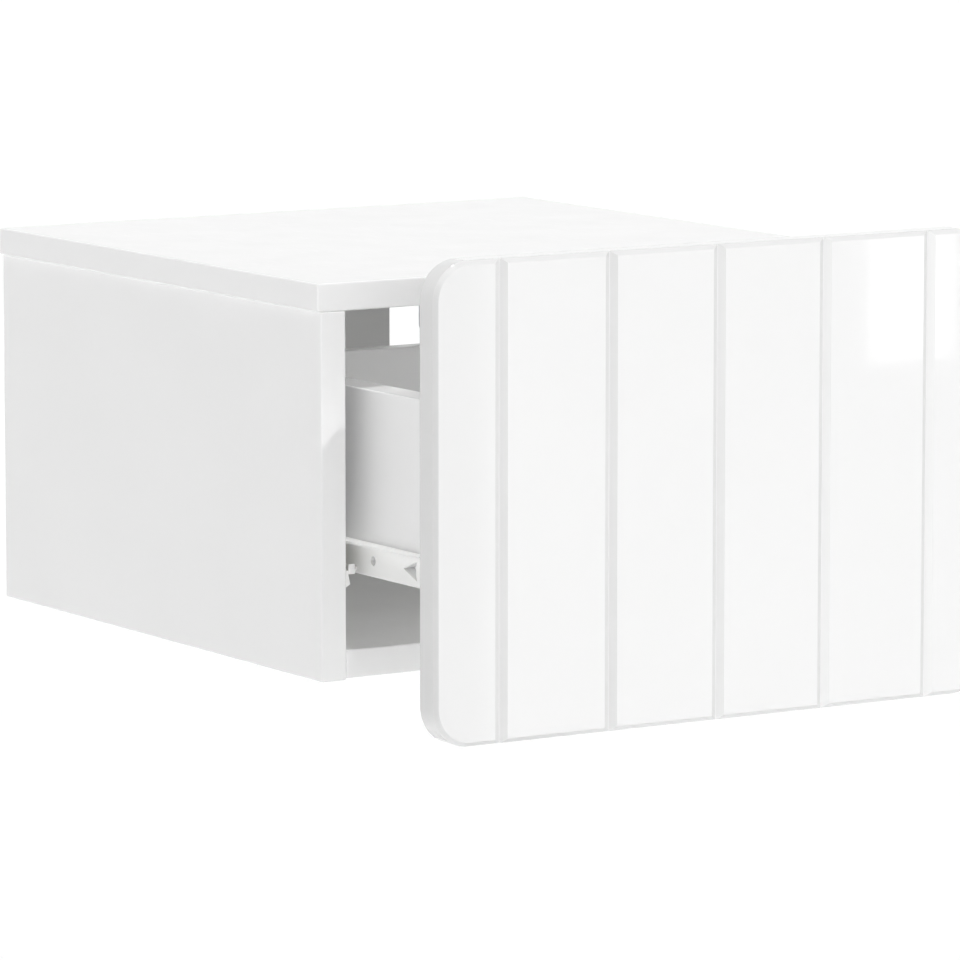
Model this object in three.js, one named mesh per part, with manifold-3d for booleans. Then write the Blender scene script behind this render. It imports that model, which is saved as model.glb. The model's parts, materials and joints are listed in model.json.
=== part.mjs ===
// A wall-hung nightstand: a white board carcass with one grooved drawer on a pair of roller runners.
// Lengths are millimetres. X runs to the right of someone who faces the drawer, Y into the wall, Z up.
// The origin is the middle of the top panel's rear edge, on the wall.

import * as THREE from "three";
import { mergeVertices } from "three/addons/utils/BufferGeometryUtils.js";
import { RoundedBoxGeometry } from "three/addons/geometries/RoundedBoxGeometry.js";
import Module from "manifold-3d";

const wasm = await Module();
wasm.setup();

// Carcass
const boardThickness = 15;
const boardEase = 0.8;
const topWidth = 350;
const topOverhang = 2;
const carcassDepth = 350;
const carcassHeight = 210;
const bottomRise = 1;

// Back panel and its corner cut-outs
const backThickness = 3;
const backInset = 10;
const backGrooveDepth = 6;
const cutOutWidth = 84;
const cutOutHeight = 75;
const cutOutRadius = 4;

// Wall brackets in the rear upper corners
const bracketWidth = 56;
const bracketHeight = 62;
const bracketFlange = 22;
const bracketThickness = 2;
const bracketCorner = 6;
const keyholeRadius = 5;
const keyholeSlotRadius = 2.8;
const keyholeSlotRise = 12;
const keyholeDrop = 36;
const bracketScrewInset = 17;
const bracketScrewReach = 12;

// Drawer front
const frontWidth = 348;
const frontHeight = 250;
const frontThickness = 15;
const frontDrop = 19;
const frontCornerRadius = 21;
const frontChamfer = 2.3;
const grooveCount = 5;
const groovePitch = 67;
const grooveWidth = 7.5;
const grooveDepth = 2.5;

// Drawer box, drawn out by drawerPull
const drawerPull = 99;
const drawerGap = 12.75;
const drawerLift = 55.5;
const drawerSideThickness = 18;
const drawerSideHeight = 97.5;
const drawerSideLength = 262;
const drawerBackThickness = 12;
const drawerBackHousing = 5;
const drawerBottomThickness = 3;
const drawerBottomRise = 12;
const drawerBottomGroove = 6;

// Cam locks and their bolts
const camRadius = 7.3;
const camLength = 12.2;
const camSetback = 24;
const camInset = 60;
const camBoltDepth = 7.5;
const camFaceSlotLength = 7;
const camFaceSlotWidth = 1.3;
const camFaceSlotDepth = 1.6;
const boltHeadRadius = 2.6;
const boltHeadLength = 2.2;
const boltNeckRadius = 1.7;
const boltShaftRadius = 3.2;
const boltThreadRadius = 3;
const boltThreadLength = 9.5;
const boltTipLength = 1;
const drawerCamLow = 28;
const drawerCamHigh = 82;

// Countersunk screws
const screwHeadRadius = 3.2;
const screwHeadLength = 2;
const screwShankRadius = 1.6;
const screwShankLength = 8;
const screwTipLength = 2;
const screwSlotLength = 3.6;
const screwSlotWidth = 0.8;
const screwSlotDepth = 1;

// Roller runners, rolled from steel strip
const runnerLength = 250;
const runnerThickness = 1.2;
const runnerSetback = 0.5;
const drawerFlangeWidth = 10;
const drawerFlangeRise = 17.5;
const drawerShelfWidth = 10;
const trackRise = 1.7;
const trackWidth = 10.4;
const trackLipWidth = 1;
const trackLipHeight = 1.5;
const noseDrop = 8;
const noseTip = 1.5;
const noseFlare = 1.4;
const noseLength = 9;
const hoodWidth = 8;
const hoodSetback = 44;
const hoodGap = 0.5;
const tongueInset = 2;
const tongueWidth = 4;
const tongueHeight = 4.6;
const tongueReach = 6;
const stopHeight = 1.5;
const stopLength = 3;
const openTravel = 90;

// Holes in the drawer runner, measured back from the drawer front
const runnerHoleRadius = 2.5;
const runnerHoleBack = 91;
const runnerHoleRise = 7.8;
const arrowBack = 47;
const arrowLength = 13.6;
const arrowHalfHeight = 5.4;
const arrowHollow = 1.2;
const runnerPatternPitch = 96;
const frontScrewBack = 28;
const rearScrewBack = 214;

// Rollers and the rivets they turn on
const rollerWidth = 6.4;
const rollerHollow = 1.4;
const rollerRimWidth = 1.8;
const rollerChamfer = 0.5;
const frontRollerBack = 30;
const rearRollerBack = 240;
const rivetRadius = 2;
const rivetFootRadius = 1.6;
const rivetShoulderRadius = 3.4;
const frontShoulderLength = 0.3;
const rearShoulderLength = 2.2;
const rivetHeadRadius = 3.4;
const rivetHeadLength = 0.7;

// Fits shared by all pieces
const looseFit = 0.3;
const slipFit = 0.2;
const overrun = 1;

// Facets
const cornerFacets = 8;
const camFacets = 14;
const boltFacets = 10;
const rollerFacets = 20;
const holeFacets = 10;

// Places that follow from the sizes, measured from the carcass's lower edge and the wall
const sideOuter = topWidth / 2 - topOverhang;
const sideInner = sideOuter - boardThickness;
const topUnderside = carcassHeight - boardThickness;
const bottomTop = bottomRise + boardThickness;
const backRear = -backInset;
const backFront = backRear - backThickness;
const drawerOuter = sideInner - drawerGap;
const drawerInner = drawerOuter - drawerSideThickness;
const drawerTop = drawerLift + drawerSideHeight;
const drawerBackY = -(carcassDepth + drawerPull);
const flangeTop = drawerLift + drawerFlangeRise;
const flangeUnderside = flangeTop - runnerThickness;
const trackTop = drawerLift + trackRise;
const hoodTop = flangeUnderside - hoodGap;
const frontRollerRadius = (flangeUnderside - trackTop) / 2 - looseFit;
const rearRollerRadius = (hoodTop - runnerThickness - trackTop) / 2 - looseFit;
const frontRollerZ = trackTop + looseFit + frontRollerRadius;
const rearRollerZ = trackTop + looseFit + rearRollerRadius;
const cabinetRunnerFront = -carcassDepth + runnerSetback;

const X = new THREE.Vector3(1, 0, 0);
const Y = new THREE.Vector3(0, 1, 0);
const Z = new THREE.Vector3(0, 0, 1);
const sides = [
  { name: "left", sign: -1 },
  { name: "right", sign: 1 },
];

// Finishes, as the photograph shows them
const finishes = {
  glossWhite: new THREE.MeshStandardMaterial({ color: 0xf3f3f3, roughness: 0.12, metalness: 0 }),
  backBoard: new THREE.MeshStandardMaterial({ color: 0xeeeeec, roughness: 0.45, metalness: 0 }),
  whiteSteel: new THREE.MeshStandardMaterial({ color: 0xf0f0ee, roughness: 0.35, metalness: 0 }),
  zincSteel: new THREE.MeshStandardMaterial({ color: 0xa9abad, roughness: 0.35, metalness: 1 }),
  zincCasting: new THREE.MeshStandardMaterial({ color: 0xb4b5b6, roughness: 0.45, metalness: 1 }),
  nylon: new THREE.MeshStandardMaterial({ color: 0xe9e8e2, roughness: 0.5, metalness: 0 }),
};

// Joining and cutting of closed meshes
function toSolid(geometry) {
  const bare = geometry.clone();
  bare.deleteAttribute("normal");
  bare.deleteAttribute("uv");
  const merged = mergeVertices(bare);
  return new wasm.Manifold(new wasm.Mesh({
    numProp: 3,
    vertProperties: new Float32Array(merged.attributes.position.array),
    triVerts: new Uint32Array(merged.index.array),
  }));
}

function toGeometry(solid) {
  const mesh = solid.getMesh();
  const geometry = new THREE.BufferGeometry();
  geometry.setAttribute("position", new THREE.Float32BufferAttribute(mesh.vertProperties, 3));
  geometry.setIndex(Array.from(mesh.triVerts));
  geometry.computeVertexNormals();
  return geometry;
}

function cut(base, tools) {
  const whole = tools.reduce((solid, tool) => solid.subtract(toSolid(tool)), toSolid(base));
  return toGeometry(whole);
}

function join(pieces) {
  const whole = pieces.slice(1).reduce((solid, piece) => solid.add(toSolid(piece)), toSolid(pieces[0]));
  return toGeometry(whole);
}

// Boxes between two corners: plain, and with the eased edges of a coated board
function box(low, high) {
  const size = new THREE.Vector3().subVectors(high, low);
  const middle = new THREE.Vector3().addVectors(low, high).divideScalar(2);
  return new THREE.BoxGeometry(size.x, size.y, size.z).translate(middle.x, middle.y, middle.z);
}

function easedBoard(low, high) {
  const size = new THREE.Vector3().subVectors(high, low);
  const middle = new THREE.Vector3().addVectors(low, high).divideScalar(2);
  const geometry = new RoundedBoxGeometry(size.x, size.y, size.z, 1, boardEase);
  return geometry.translate(middle.x, middle.y, middle.z);
}

function mirrorBox(sign, low, high, make = box) {
  const flip = (point) => new THREE.Vector3(sign * point.x, point.y, point.z);
  const ends = [flip(low), flip(high)];
  return make(ends[0].clone().min(ends[1]), ends[0].clone().max(ends[1]));
}

// A frame whose local X and Z point along two given directions
function frameAt(origin, alongX, alongZ) {
  const alongY = new THREE.Vector3().crossVectors(alongZ, alongX);
  return new THREE.Matrix4().makeBasis(alongX, alongY, alongZ).setPosition(origin);
}

// Turned pieces: points are [radius, height], and the axis is laid along local Z
function turned(points, facets) {
  const profile = points.map(([radius, height]) => new THREE.Vector2(radius, height));
  return new THREE.LatheGeometry(profile, facets).rotateX(Math.PI / 2);
}

function rod(radius, low, high, facets) {
  return turned([[0, low], [radius, low], [radius, high], [0, high]], facets);
}

// Outlines in the XZ plane, drawn out along Y between two places
function drawnAlongY(shape, front, rear, options = {}) {
  const settings = { depth: rear - front, bevelEnabled: false, curveSegments: cornerFacets, ...options };
  const geometry = new THREE.ExtrudeGeometry(shape, settings);
  const turn = new THREE.Matrix4().makeBasis(X, Z, Y.clone().negate());
  return geometry.applyMatrix4(turn).translate(0, rear, 0);
}

// Outlines in the YZ plane, drawn out along X between two places
function drawnAlongX(shape, low, high) {
  const settings = { depth: high - low, bevelEnabled: false, curveSegments: cornerFacets };
  const geometry = new THREE.ExtrudeGeometry(shape, settings);
  return geometry.applyMatrix4(new THREE.Matrix4().makeBasis(Y, Z, X)).translate(low, 0, 0);
}

function roundedRectangle(left, right, bottom, top, radius) {
  const shape = new THREE.Shape();
  shape.absarc(right - radius, bottom + radius, radius, -Math.PI / 2, 0);
  shape.absarc(right - radius, top - radius, radius, 0, Math.PI / 2);
  shape.absarc(left + radius, top - radius, radius, Math.PI / 2, Math.PI);
  shape.absarc(left + radius, bottom + radius, radius, Math.PI, 1.5 * Math.PI);
  shape.closePath();
  return shape;
}

function polygon(points) {
  return new THREE.Shape(points.map(([across, up]) => new THREE.Vector2(across, up)));
}

function named(name, geometry, finish, matrix = new THREE.Matrix4()) {
  const mesh = new THREE.Mesh(geometry, finishes[finish]);
  mesh.name = name;
  mesh.applyMatrix4(matrix);
  return mesh;
}

// Countersunk screw: its head's top is at zero and it points down local Z
function screwProfile(fit, above) {
  const shankEnd = -(screwHeadLength + screwShankLength);
  return [
    [0, shankEnd - screwTipLength - fit],
    [screwShankRadius + fit, shankEnd - fit],
    [screwShankRadius + fit, -screwHeadLength],
    [screwHeadRadius + fit, 0],
    [screwHeadRadius + fit, above],
    [0, above],
  ];
}

function screwGeometry() {
  const body = turned(screwProfile(0, 0).slice(0, -2).concat([[0, 0]]), boltFacets);
  const half = screwSlotLength / 2;
  const thin = screwSlotWidth / 2;
  const slots = [
    box(new THREE.Vector3(-half, -thin, -screwSlotDepth), new THREE.Vector3(half, thin, overrun)),
    box(new THREE.Vector3(-thin, -half, -screwSlotDepth), new THREE.Vector3(thin, half, overrun)),
  ];
  return cut(body, slots);
}

function screwBore(matrix) {
  return turned(screwProfile(looseFit, overrun), boltFacets).applyMatrix4(matrix);
}

// Cam lock: its face is at zero, its body runs down local Z, and its bolt comes from local X
function camGeometry() {
  const body = rod(camRadius, -camLength, 0, camFacets);
  const bed = new THREE.Vector3(0, 0, -camBoltDepth);
  const alongBolt = frameAt(bed, Y, X);
  const headHalf = boltHeadLength / 2 + looseFit;
  const claw = rod(boltHeadRadius + looseFit, -headHalf, headHalf, boltFacets).applyMatrix4(alongBolt);
  const throatEnd = camRadius + overrun;
  const throat = rod(boltNeckRadius + looseFit, 0, throatEnd, boltFacets).applyMatrix4(alongBolt);
  const half = camFaceSlotLength / 2;
  const thin = camFaceSlotWidth / 2;
  const slots = [
    box(new THREE.Vector3(-half, -thin, -camFaceSlotDepth), new THREE.Vector3(half, thin, overrun)),
    box(new THREE.Vector3(-thin, -half, -camFaceSlotDepth), new THREE.Vector3(thin, half, overrun)),
  ];
  return cut(body, [claw, throat, ...slots]);
}

function camBore(matrix) {
  const bore = rod(camRadius + looseFit, -camLength - looseFit, overrun, camFacets);
  return bore.applyMatrix4(matrix);
}

// Cam bolt: the joint is at zero, its thread runs up local Z and its head waits in the cam below
function boltGeometry() {
  const headLow = -camSetback - boltHeadLength / 2;
  const headHigh = headLow + boltHeadLength;
  const shaftLow = -camSetback + camRadius + looseFit;
  return turned([
    [0, headLow],
    [boltHeadRadius, headLow],
    [boltHeadRadius, headHigh],
    [boltNeckRadius, headHigh],
    [boltNeckRadius, shaftLow],
    [boltShaftRadius, shaftLow],
    [boltShaftRadius, -looseFit],
    [boltThreadRadius, -looseFit],
    [boltThreadRadius, boltThreadLength],
    [boltNeckRadius, boltThreadLength + boltTipLength],
    [0, boltThreadLength + boltTipLength],
  ], boltFacets);
}

function boltShaftBore(matrix) {
  const bore = rod(boltShaftRadius + looseFit, -camSetback, overrun, boltFacets);
  return bore.applyMatrix4(matrix);
}

function boltThreadBore(matrix) {
  const depth = boltThreadLength + boltTipLength + looseFit;
  const bore = rod(boltThreadRadius + looseFit, -overrun, depth, boltFacets);
  return bore.applyMatrix4(matrix);
}

// A cam joint: where its bolt crosses the joint, which way it runs, and which way the cam's face looks
function camJoint(name, jointPoint, alongBolt, camFace) {
  const camCentre = jointPoint.clone().addScaledVector(alongBolt, -camSetback);
  const facePoint = camCentre.addScaledVector(camFace, camBoltDepth);
  return {
    name,
    boltFrame: frameAt(jointPoint, camFace, alongBolt),
    camFrame: frameAt(facePoint, alongBolt, camFace),
  };
}

function camJointMeshes(joint) {
  return [
    named(`${joint.name}_cam`, camGeometry(), "zincCasting", joint.camFrame),
    named(`${joint.name}_cam_bolt`, boltGeometry(), "zincSteel", joint.boltFrame),
  ];
}

const carcassCamPlaces = [
  { name: "front", y: -carcassDepth + camInset },
  { name: "rear", y: -camInset },
];

function topCamJoints(side) {
  const inward = X.clone().multiplyScalar(-side.sign);
  const across = side.sign * (sideInner + camBoltDepth);
  return carcassCamPlaces.map(({ name, y }) => {
    const point = new THREE.Vector3(across, y, topUnderside);
    return camJoint(`${side.name}_top_${name}`, point, Z, inward);
  });
}

function bottomCamJoints(side) {
  const outward = X.clone().multiplyScalar(side.sign);
  return carcassCamPlaces.map(({ name, y }) => {
    const point = new THREE.Vector3(side.sign * sideInner, y, bottomRise + camBoltDepth);
    return camJoint(`${side.name}_bottom_${name}`, point, outward, Z.clone().negate());
  });
}

function drawerCamJoints(side) {
  const inward = X.clone().multiplyScalar(-side.sign);
  const across = side.sign * (drawerInner + camBoltDepth);
  const heights = [
    { name: "lower", z: drawerLift + drawerCamLow },
    { name: "upper", z: drawerLift + drawerCamHigh },
  ];
  return heights.map(({ name, z }) => {
    const point = new THREE.Vector3(across, 0, z);
    return camJoint(`drawer_${side.name}_${name}`, point, Y.clone().negate(), inward);
  });
}

// Where the screws sit
function bracketScrews(side) {
  const inward = X.clone().multiplyScalar(-side.sign);
  const flangeFace = sideInner - bracketThickness;
  const low = topUnderside - bracketHeight + bracketScrewReach;
  const sidePoint = new THREE.Vector3(side.sign * flangeFace, -bracketScrewInset, low);
  const across = sideInner - bracketWidth + bracketScrewReach;
  const flangeUnder = topUnderside - bracketThickness;
  const topPoint = new THREE.Vector3(side.sign * across, -bracketScrewInset, flangeUnder);
  return [
    { name: `${side.name}_bracket_side_screw`, frame: frameAt(sidePoint, Z, inward) },
    { name: `${side.name}_bracket_top_screw`, frame: frameAt(topPoint, X, Z.clone().negate()) },
  ];
}

const runnerScrewBacks = [
  { name: "front", back: frontScrewBack },
  { name: "rear", back: rearScrewBack },
];

function cabinetRunnerScrews(side) {
  const inward = X.clone().multiplyScalar(-side.sign);
  const across = side.sign * (sideInner - runnerThickness);
  return runnerScrewBacks.map(({ name, back }) => {
    const point = new THREE.Vector3(across, cabinetRunnerFront + frontRollerBack + back, rearRollerZ);
    return { name: `${side.name}_cabinet_runner_${name}_screw`, frame: frameAt(point, Z, inward) };
  });
}

function drawerRunnerScrews(side) {
  const outward = X.clone().multiplyScalar(side.sign);
  const across = side.sign * (drawerOuter + runnerThickness);
  return runnerScrewBacks.map(({ name, back }) => {
    const point = new THREE.Vector3(across, back, drawerLift + runnerHoleRise);
    return { name: `${side.name}_drawer_runner_${name}_screw`, frame: frameAt(point, Z, outward) };
  });
}

function screwMeshes(screws) {
  return screws.map((screw) => named(screw.name, screwGeometry(), "zincSteel", screw.frame));
}

// Carcass boards
function backGroove(low, high) {
  const front = backFront - slipFit;
  const rear = backRear + slipFit;
  return box(new THREE.Vector3(low.x, front, low.z), new THREE.Vector3(high.x, rear, high.z));
}

function topPanel() {
  const low = new THREE.Vector3(-topWidth / 2, -carcassDepth, topUnderside);
  const high = new THREE.Vector3(topWidth / 2, 0, carcassHeight);
  const reach = sideInner - cutOutWidth + slipFit;
  const groove = backGroove(
    { x: -reach, z: topUnderside - overrun },
    { x: reach, z: topUnderside + backGrooveDepth },
  );
  const bores = sides.flatMap((side) => [
    ...topCamJoints(side).map((joint) => boltThreadBore(joint.boltFrame)),
    screwBore(bracketScrews(side)[1].frame),
  ]);
  return named("top_panel", cut(easedBoard(low, high), [groove, ...bores]), "glossWhite");
}

function sidePanel(side) {
  const low = new THREE.Vector3(sideInner, -carcassDepth, 0);
  const high = new THREE.Vector3(sideOuter, 0, topUnderside);
  const board = mirrorBox(side.sign, low, high, easedBoard);
  const grooveEnds = [side.sign * (sideInner - overrun), side.sign * (sideInner + backGrooveDepth)];
  const groove = backGroove(
    { x: Math.min(...grooveEnds), z: bottomRise },
    { x: Math.max(...grooveEnds), z: topUnderside - cutOutHeight + slipFit },
  );
  const cams = topCamJoints(side).flatMap((joint) => [
    camBore(joint.camFrame),
    boltShaftBore(joint.boltFrame),
  ]);
  const threads = bottomCamJoints(side).map((joint) => boltThreadBore(joint.boltFrame));
  const screws = [bracketScrews(side)[0], ...cabinetRunnerScrews(side)];
  const pilots = screws.map((screw) => screwBore(screw.frame));
  const geometry = cut(board, [groove, ...cams, ...threads, ...pilots]);
  return named(`${side.name}_side_panel`, geometry, "glossWhite");
}

function bottomPanel() {
  const low = new THREE.Vector3(-sideInner, -carcassDepth, bottomRise);
  const high = new THREE.Vector3(sideInner, 0, bottomTop);
  const groove = backGroove(
    { x: -sideInner - overrun, z: bottomTop - backGrooveDepth },
    { x: sideInner + overrun, z: bottomTop + overrun },
  );
  const cams = sides.flatMap(bottomCamJoints).flatMap((joint) => [
    camBore(joint.camFrame),
    boltShaftBore(joint.boltFrame),
  ]);
  return named("bottom_panel", cut(easedBoard(low, high), [groove, ...cams]), "glossWhite");
}

function backPanel() {
  const seat = backGrooveDepth - looseFit;
  const wide = sideInner + seat;
  const narrow = sideInner - cutOutWidth;
  const low = bottomTop - seat;
  const ledge = topUnderside - cutOutHeight;
  const high = topUnderside + seat;
  const shape = new THREE.Shape();
  shape.moveTo(-wide, low);
  shape.lineTo(wide, low);
  shape.lineTo(wide, ledge);
  shape.lineTo(narrow + cutOutRadius, ledge);
  shape.absarc(narrow + cutOutRadius, ledge + cutOutRadius, cutOutRadius, 1.5 * Math.PI, Math.PI, true);
  shape.lineTo(narrow, high);
  shape.lineTo(-narrow, high);
  shape.lineTo(-narrow, ledge + cutOutRadius);
  shape.absarc(-narrow - cutOutRadius, ledge + cutOutRadius, cutOutRadius, 0, -Math.PI / 2, true);
  shape.lineTo(-wide, ledge);
  shape.closePath();
  return named("back_panel", drawnAlongY(shape, backFront, backRear), "backBoard");
}

// Wall bracket: a pressed plate with a keyhole and two flanges, screwed into a rear upper corner
function wallBracket(side) {
  const inner = sideInner - bracketWidth;
  const low = topUnderside - bracketHeight;
  const flip = (across) => side.sign * across;
  const plate = new THREE.Shape();
  plate.moveTo(flip(sideInner), low);
  plate.lineTo(flip(sideInner), topUnderside);
  plate.lineTo(flip(inner), topUnderside);
  plate.lineTo(flip(inner), low + bracketCorner);
  plate.quadraticCurveTo(flip(inner), low, flip(inner + bracketCorner), low);
  plate.closePath();

  const middle = flip(sideInner - bracketWidth / 2);
  const headZ = topUnderside - keyholeDrop;
  const slotZ = headZ + keyholeSlotRise;
  const dip = Math.asin(keyholeSlotRadius / keyholeRadius);
  const keyhole = new THREE.Path();
  keyhole.absarc(middle, headZ, keyholeRadius, Math.PI / 2 + dip, Math.PI / 2 - dip + 2 * Math.PI);
  keyhole.absarc(middle, slotZ, keyholeSlotRadius, 0, Math.PI);
  keyhole.closePath();
  plate.holes.push(keyhole);

  const sideFlange = mirrorBox(
    side.sign,
    new THREE.Vector3(sideInner - bracketThickness, -bracketFlange, low),
    new THREE.Vector3(sideInner, 0, topUnderside),
  );
  const topFlange = mirrorBox(
    side.sign,
    new THREE.Vector3(inner, -bracketFlange, topUnderside - bracketThickness),
    new THREE.Vector3(sideInner, 0, topUnderside),
  );
  const pressed = join([drawnAlongY(plate, -bracketThickness, 0), sideFlange, topFlange]);
  const geometry = cut(pressed, bracketScrews(side).map((screw) => screwBore(screw.frame)));
  return named(`${side.name}_wall_bracket`, geometry, "zincSteel");
}

// Cabinet runner: a channel whose lower flange is the track for the drawer's rear roller
function cabinetRunnerSection(side) {
  const t = runnerThickness;
  const track = [
    [0, trackTop - t],
    [trackWidth, trackTop - t],
    [trackWidth, trackTop + trackLipHeight],
    [trackWidth - trackLipWidth, trackTop + trackLipHeight],
    [trackWidth - trackLipWidth, trackTop],
    [t, trackTop],
  ];
  const hood = [[t, hoodTop - t], [hoodWidth, hoodTop - t], [hoodWidth, hoodTop], [0, hoodTop]];
  const outline = [...track, ...hood];
  return polygon(outline.map(([inward, up]) => [side.sign * (sideInner - inward), up]));
}

// The track ends in an upright tongue at the front and at the rear
function trackTongue(side, front) {
  const high = new THREE.Vector3(sideInner - tongueInset, front + runnerThickness, trackTop + tongueHeight);
  const low = new THREE.Vector3(high.x - tongueWidth, front, trackTop - runnerThickness);
  return mirrorBox(side.sign, low, high);
}

// The web runs down into a pointed nose at the front
function webNose(side, front) {
  const foot = trackTop - noseDrop;
  const outline = [
    [0, foot],
    [runnerThickness + noseFlare, foot + noseTip],
    [runnerThickness, trackTop - runnerThickness],
    [runnerThickness, trackTop],
    [0, trackTop],
  ];
  const shape = polygon(outline.map(([inward, up]) => [side.sign * (sideInner - inward), up]));
  return drawnAlongY(shape, front, front + noseLength);
}

// At the front, the web and most of the track stop short of the tongue and the nose
function cabinetRunner(side) {
  const front = cabinetRunnerFront;
  const rear = front + runnerLength;
  const channel = drawnAlongY(cabinetRunnerSection(side), front, rear);
  const openEnd = drawerBackY - openTravel + rearRollerBack;
  const bite = Math.sqrt(rearRollerRadius ** 2 - (rearRollerRadius - stopHeight) ** 2);
  const stopRear = openEnd - bite - 2 * looseFit;
  const stop = mirrorBox(
    side.sign,
    new THREE.Vector3(sideInner - trackWidth, stopRear - stopLength, trackTop - runnerThickness),
    new THREE.Vector3(sideInner - runnerThickness, stopRear, trackTop + stopHeight),
  );
  const formed = join([
    channel,
    trackTongue(side, front),
    trackTongue(side, rear - runnerThickness),
    webNose(side, front),
    stop,
  ]);

  const notch = mirrorBox(
    side.sign,
    new THREE.Vector3(sideInner - trackWidth, front - overrun, hoodTop - runnerThickness - looseFit),
    new THREE.Vector3(sideInner - runnerThickness, front + hoodSetback, hoodTop + overrun),
  );
  const webEnd = mirrorBox(
    side.sign,
    new THREE.Vector3(sideInner - runnerThickness - looseFit, front - overrun, trackTop),
    new THREE.Vector3(sideInner + overrun, front + tongueReach, hoodTop + overrun),
  );
  const trackEnd = mirrorBox(
    side.sign,
    new THREE.Vector3(sideInner - trackWidth - overrun, front - overrun, trackTop - runnerThickness - overrun),
    new THREE.Vector3(sideInner - tongueInset - tongueWidth, front + tongueReach, hoodTop),
  );
  const rivetHole = rod(rivetFootRadius + looseFit, -runnerThickness - overrun, overrun, holeFacets);
  const holes = [
    rivetHole.applyMatrix4(frontRollerFrame(side)),
    ...cabinetRunnerScrews(side).map((screw) => screwBore(screw.frame)),
  ];
  const geometry = cut(formed, [notch, webEnd, trackEnd, ...holes]);
  return named(`${side.name}_cabinet_runner`, geometry, "whiteSteel");
}

// Drawer runner: an angle under the drawer side whose upper flange rides on the cabinet's roller
function drawerRunnerSection(side) {
  const t = runnerThickness;
  const outline = [
    [-drawerShelfWidth, drawerLift - t],
    [t, drawerLift - t],
    [t, flangeUnderside],
    [drawerFlangeWidth, flangeUnderside],
    [drawerFlangeWidth, flangeTop],
    [0, flangeTop],
    [0, drawerLift],
    [-drawerShelfWidth, drawerLift],
  ];
  return polygon(outline.map(([outward, up]) => [side.sign * (drawerOuter + outward), up]));
}

// The arrow-shaped opening between the runner's screw and its round hole
function arrowOutline(back) {
  const middle = drawerLift + runnerHoleRise;
  const shape = new THREE.Shape();
  shape.moveTo(back + arrowLength, middle);
  shape.lineTo(back, middle + arrowHalfHeight);
  shape.quadraticCurveTo(back + 2 * arrowHollow, middle, back, middle - arrowHalfHeight);
  shape.closePath();
  return shape;
}

function drawerRunner(side) {
  const angle = drawnAlongY(drawerRunnerSection(side), looseFit, runnerLength);
  const ends = [side.sign * (drawerOuter - overrun), side.sign * (drawerOuter + runnerThickness + overrun)];
  const low = Math.min(...ends);
  const high = Math.max(...ends);
  const patterns = [0, runnerPatternPitch].flatMap((shift) => {
    const centre = new THREE.Vector3(low, runnerHoleBack + shift, drawerLift + runnerHoleRise);
    const hole = rod(runnerHoleRadius, 0, high - low, holeFacets).applyMatrix4(frameAt(centre, Z, X));
    return [hole, drawnAlongX(arrowOutline(arrowBack + shift), low, high)];
  });
  const rivetHole = rod(rivetFootRadius + looseFit, -runnerThickness - overrun, overrun, holeFacets);
  const holes = [
    rivetHole.applyMatrix4(rearRollerFrame(side)),
    ...drawerRunnerScrews(side).map((screw) => screwBore(screw.frame)),
  ];
  const geometry = cut(angle, [...patterns, ...holes]);
  return named(`${side.name}_drawer_runner`, geometry, "whiteSteel");
}

// Rollers and rivets: zero is the runner's outer face, and local Z points away from it
function frontRollerFrame(side) {
  const inward = X.clone().multiplyScalar(-side.sign);
  const across = side.sign * (sideInner - runnerThickness);
  const point = new THREE.Vector3(across, cabinetRunnerFront + frontRollerBack, frontRollerZ);
  return frameAt(point, Z, inward);
}

function rearRollerFrame(side) {
  const outward = X.clone().multiplyScalar(side.sign);
  const across = side.sign * (drawerOuter + runnerThickness);
  return frameAt(new THREE.Vector3(across, rearRollerBack, rearRollerZ), Z, outward);
}

function rollerGeometry(radius, low) {
  const bore = rivetRadius + looseFit;
  const high = low + rollerWidth;
  const hub = (radius + bore) / 2;
  const rim = radius - rollerRimWidth;
  return turned([
    [bore, low],
    [hub, low],
    [rim, low + rollerHollow],
    [rim, low],
    [radius - rollerChamfer, low],
    [radius, low + rollerChamfer],
    [radius, high - rollerChamfer],
    [radius - rollerChamfer, high],
    [rim, high],
    [rim, high - rollerHollow],
    [hub, high],
    [bore, high],
    [bore, low],
  ], rollerFacets);
}

function rivetGeometry(rollerLow) {
  const headLow = rollerLow + rollerWidth + looseFit;
  return turned([
    [0, -runnerThickness],
    [rivetFootRadius, -runnerThickness],
    [rivetFootRadius, 0],
    [rivetShoulderRadius, 0],
    [rivetShoulderRadius, rollerLow - looseFit],
    [rivetRadius, rollerLow - looseFit],
    [rivetRadius, headLow],
    [rivetHeadRadius, headLow],
    [rivetHeadRadius, headLow + rivetHeadLength / 2],
    [rivetRadius, headLow + rivetHeadLength],
    [0, headLow + rivetHeadLength],
  ], holeFacets);
}

function rollerMeshes(side, place, radius, shoulder, matrix) {
  const rollerLow = shoulder + looseFit;
  const name = `${side.name}_${place}_roller`;
  return [
    named(name, rollerGeometry(radius, rollerLow), "nylon", matrix),
    named(`${name}_rivet`, rivetGeometry(rollerLow), "zincSteel", matrix),
  ];
}

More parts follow.
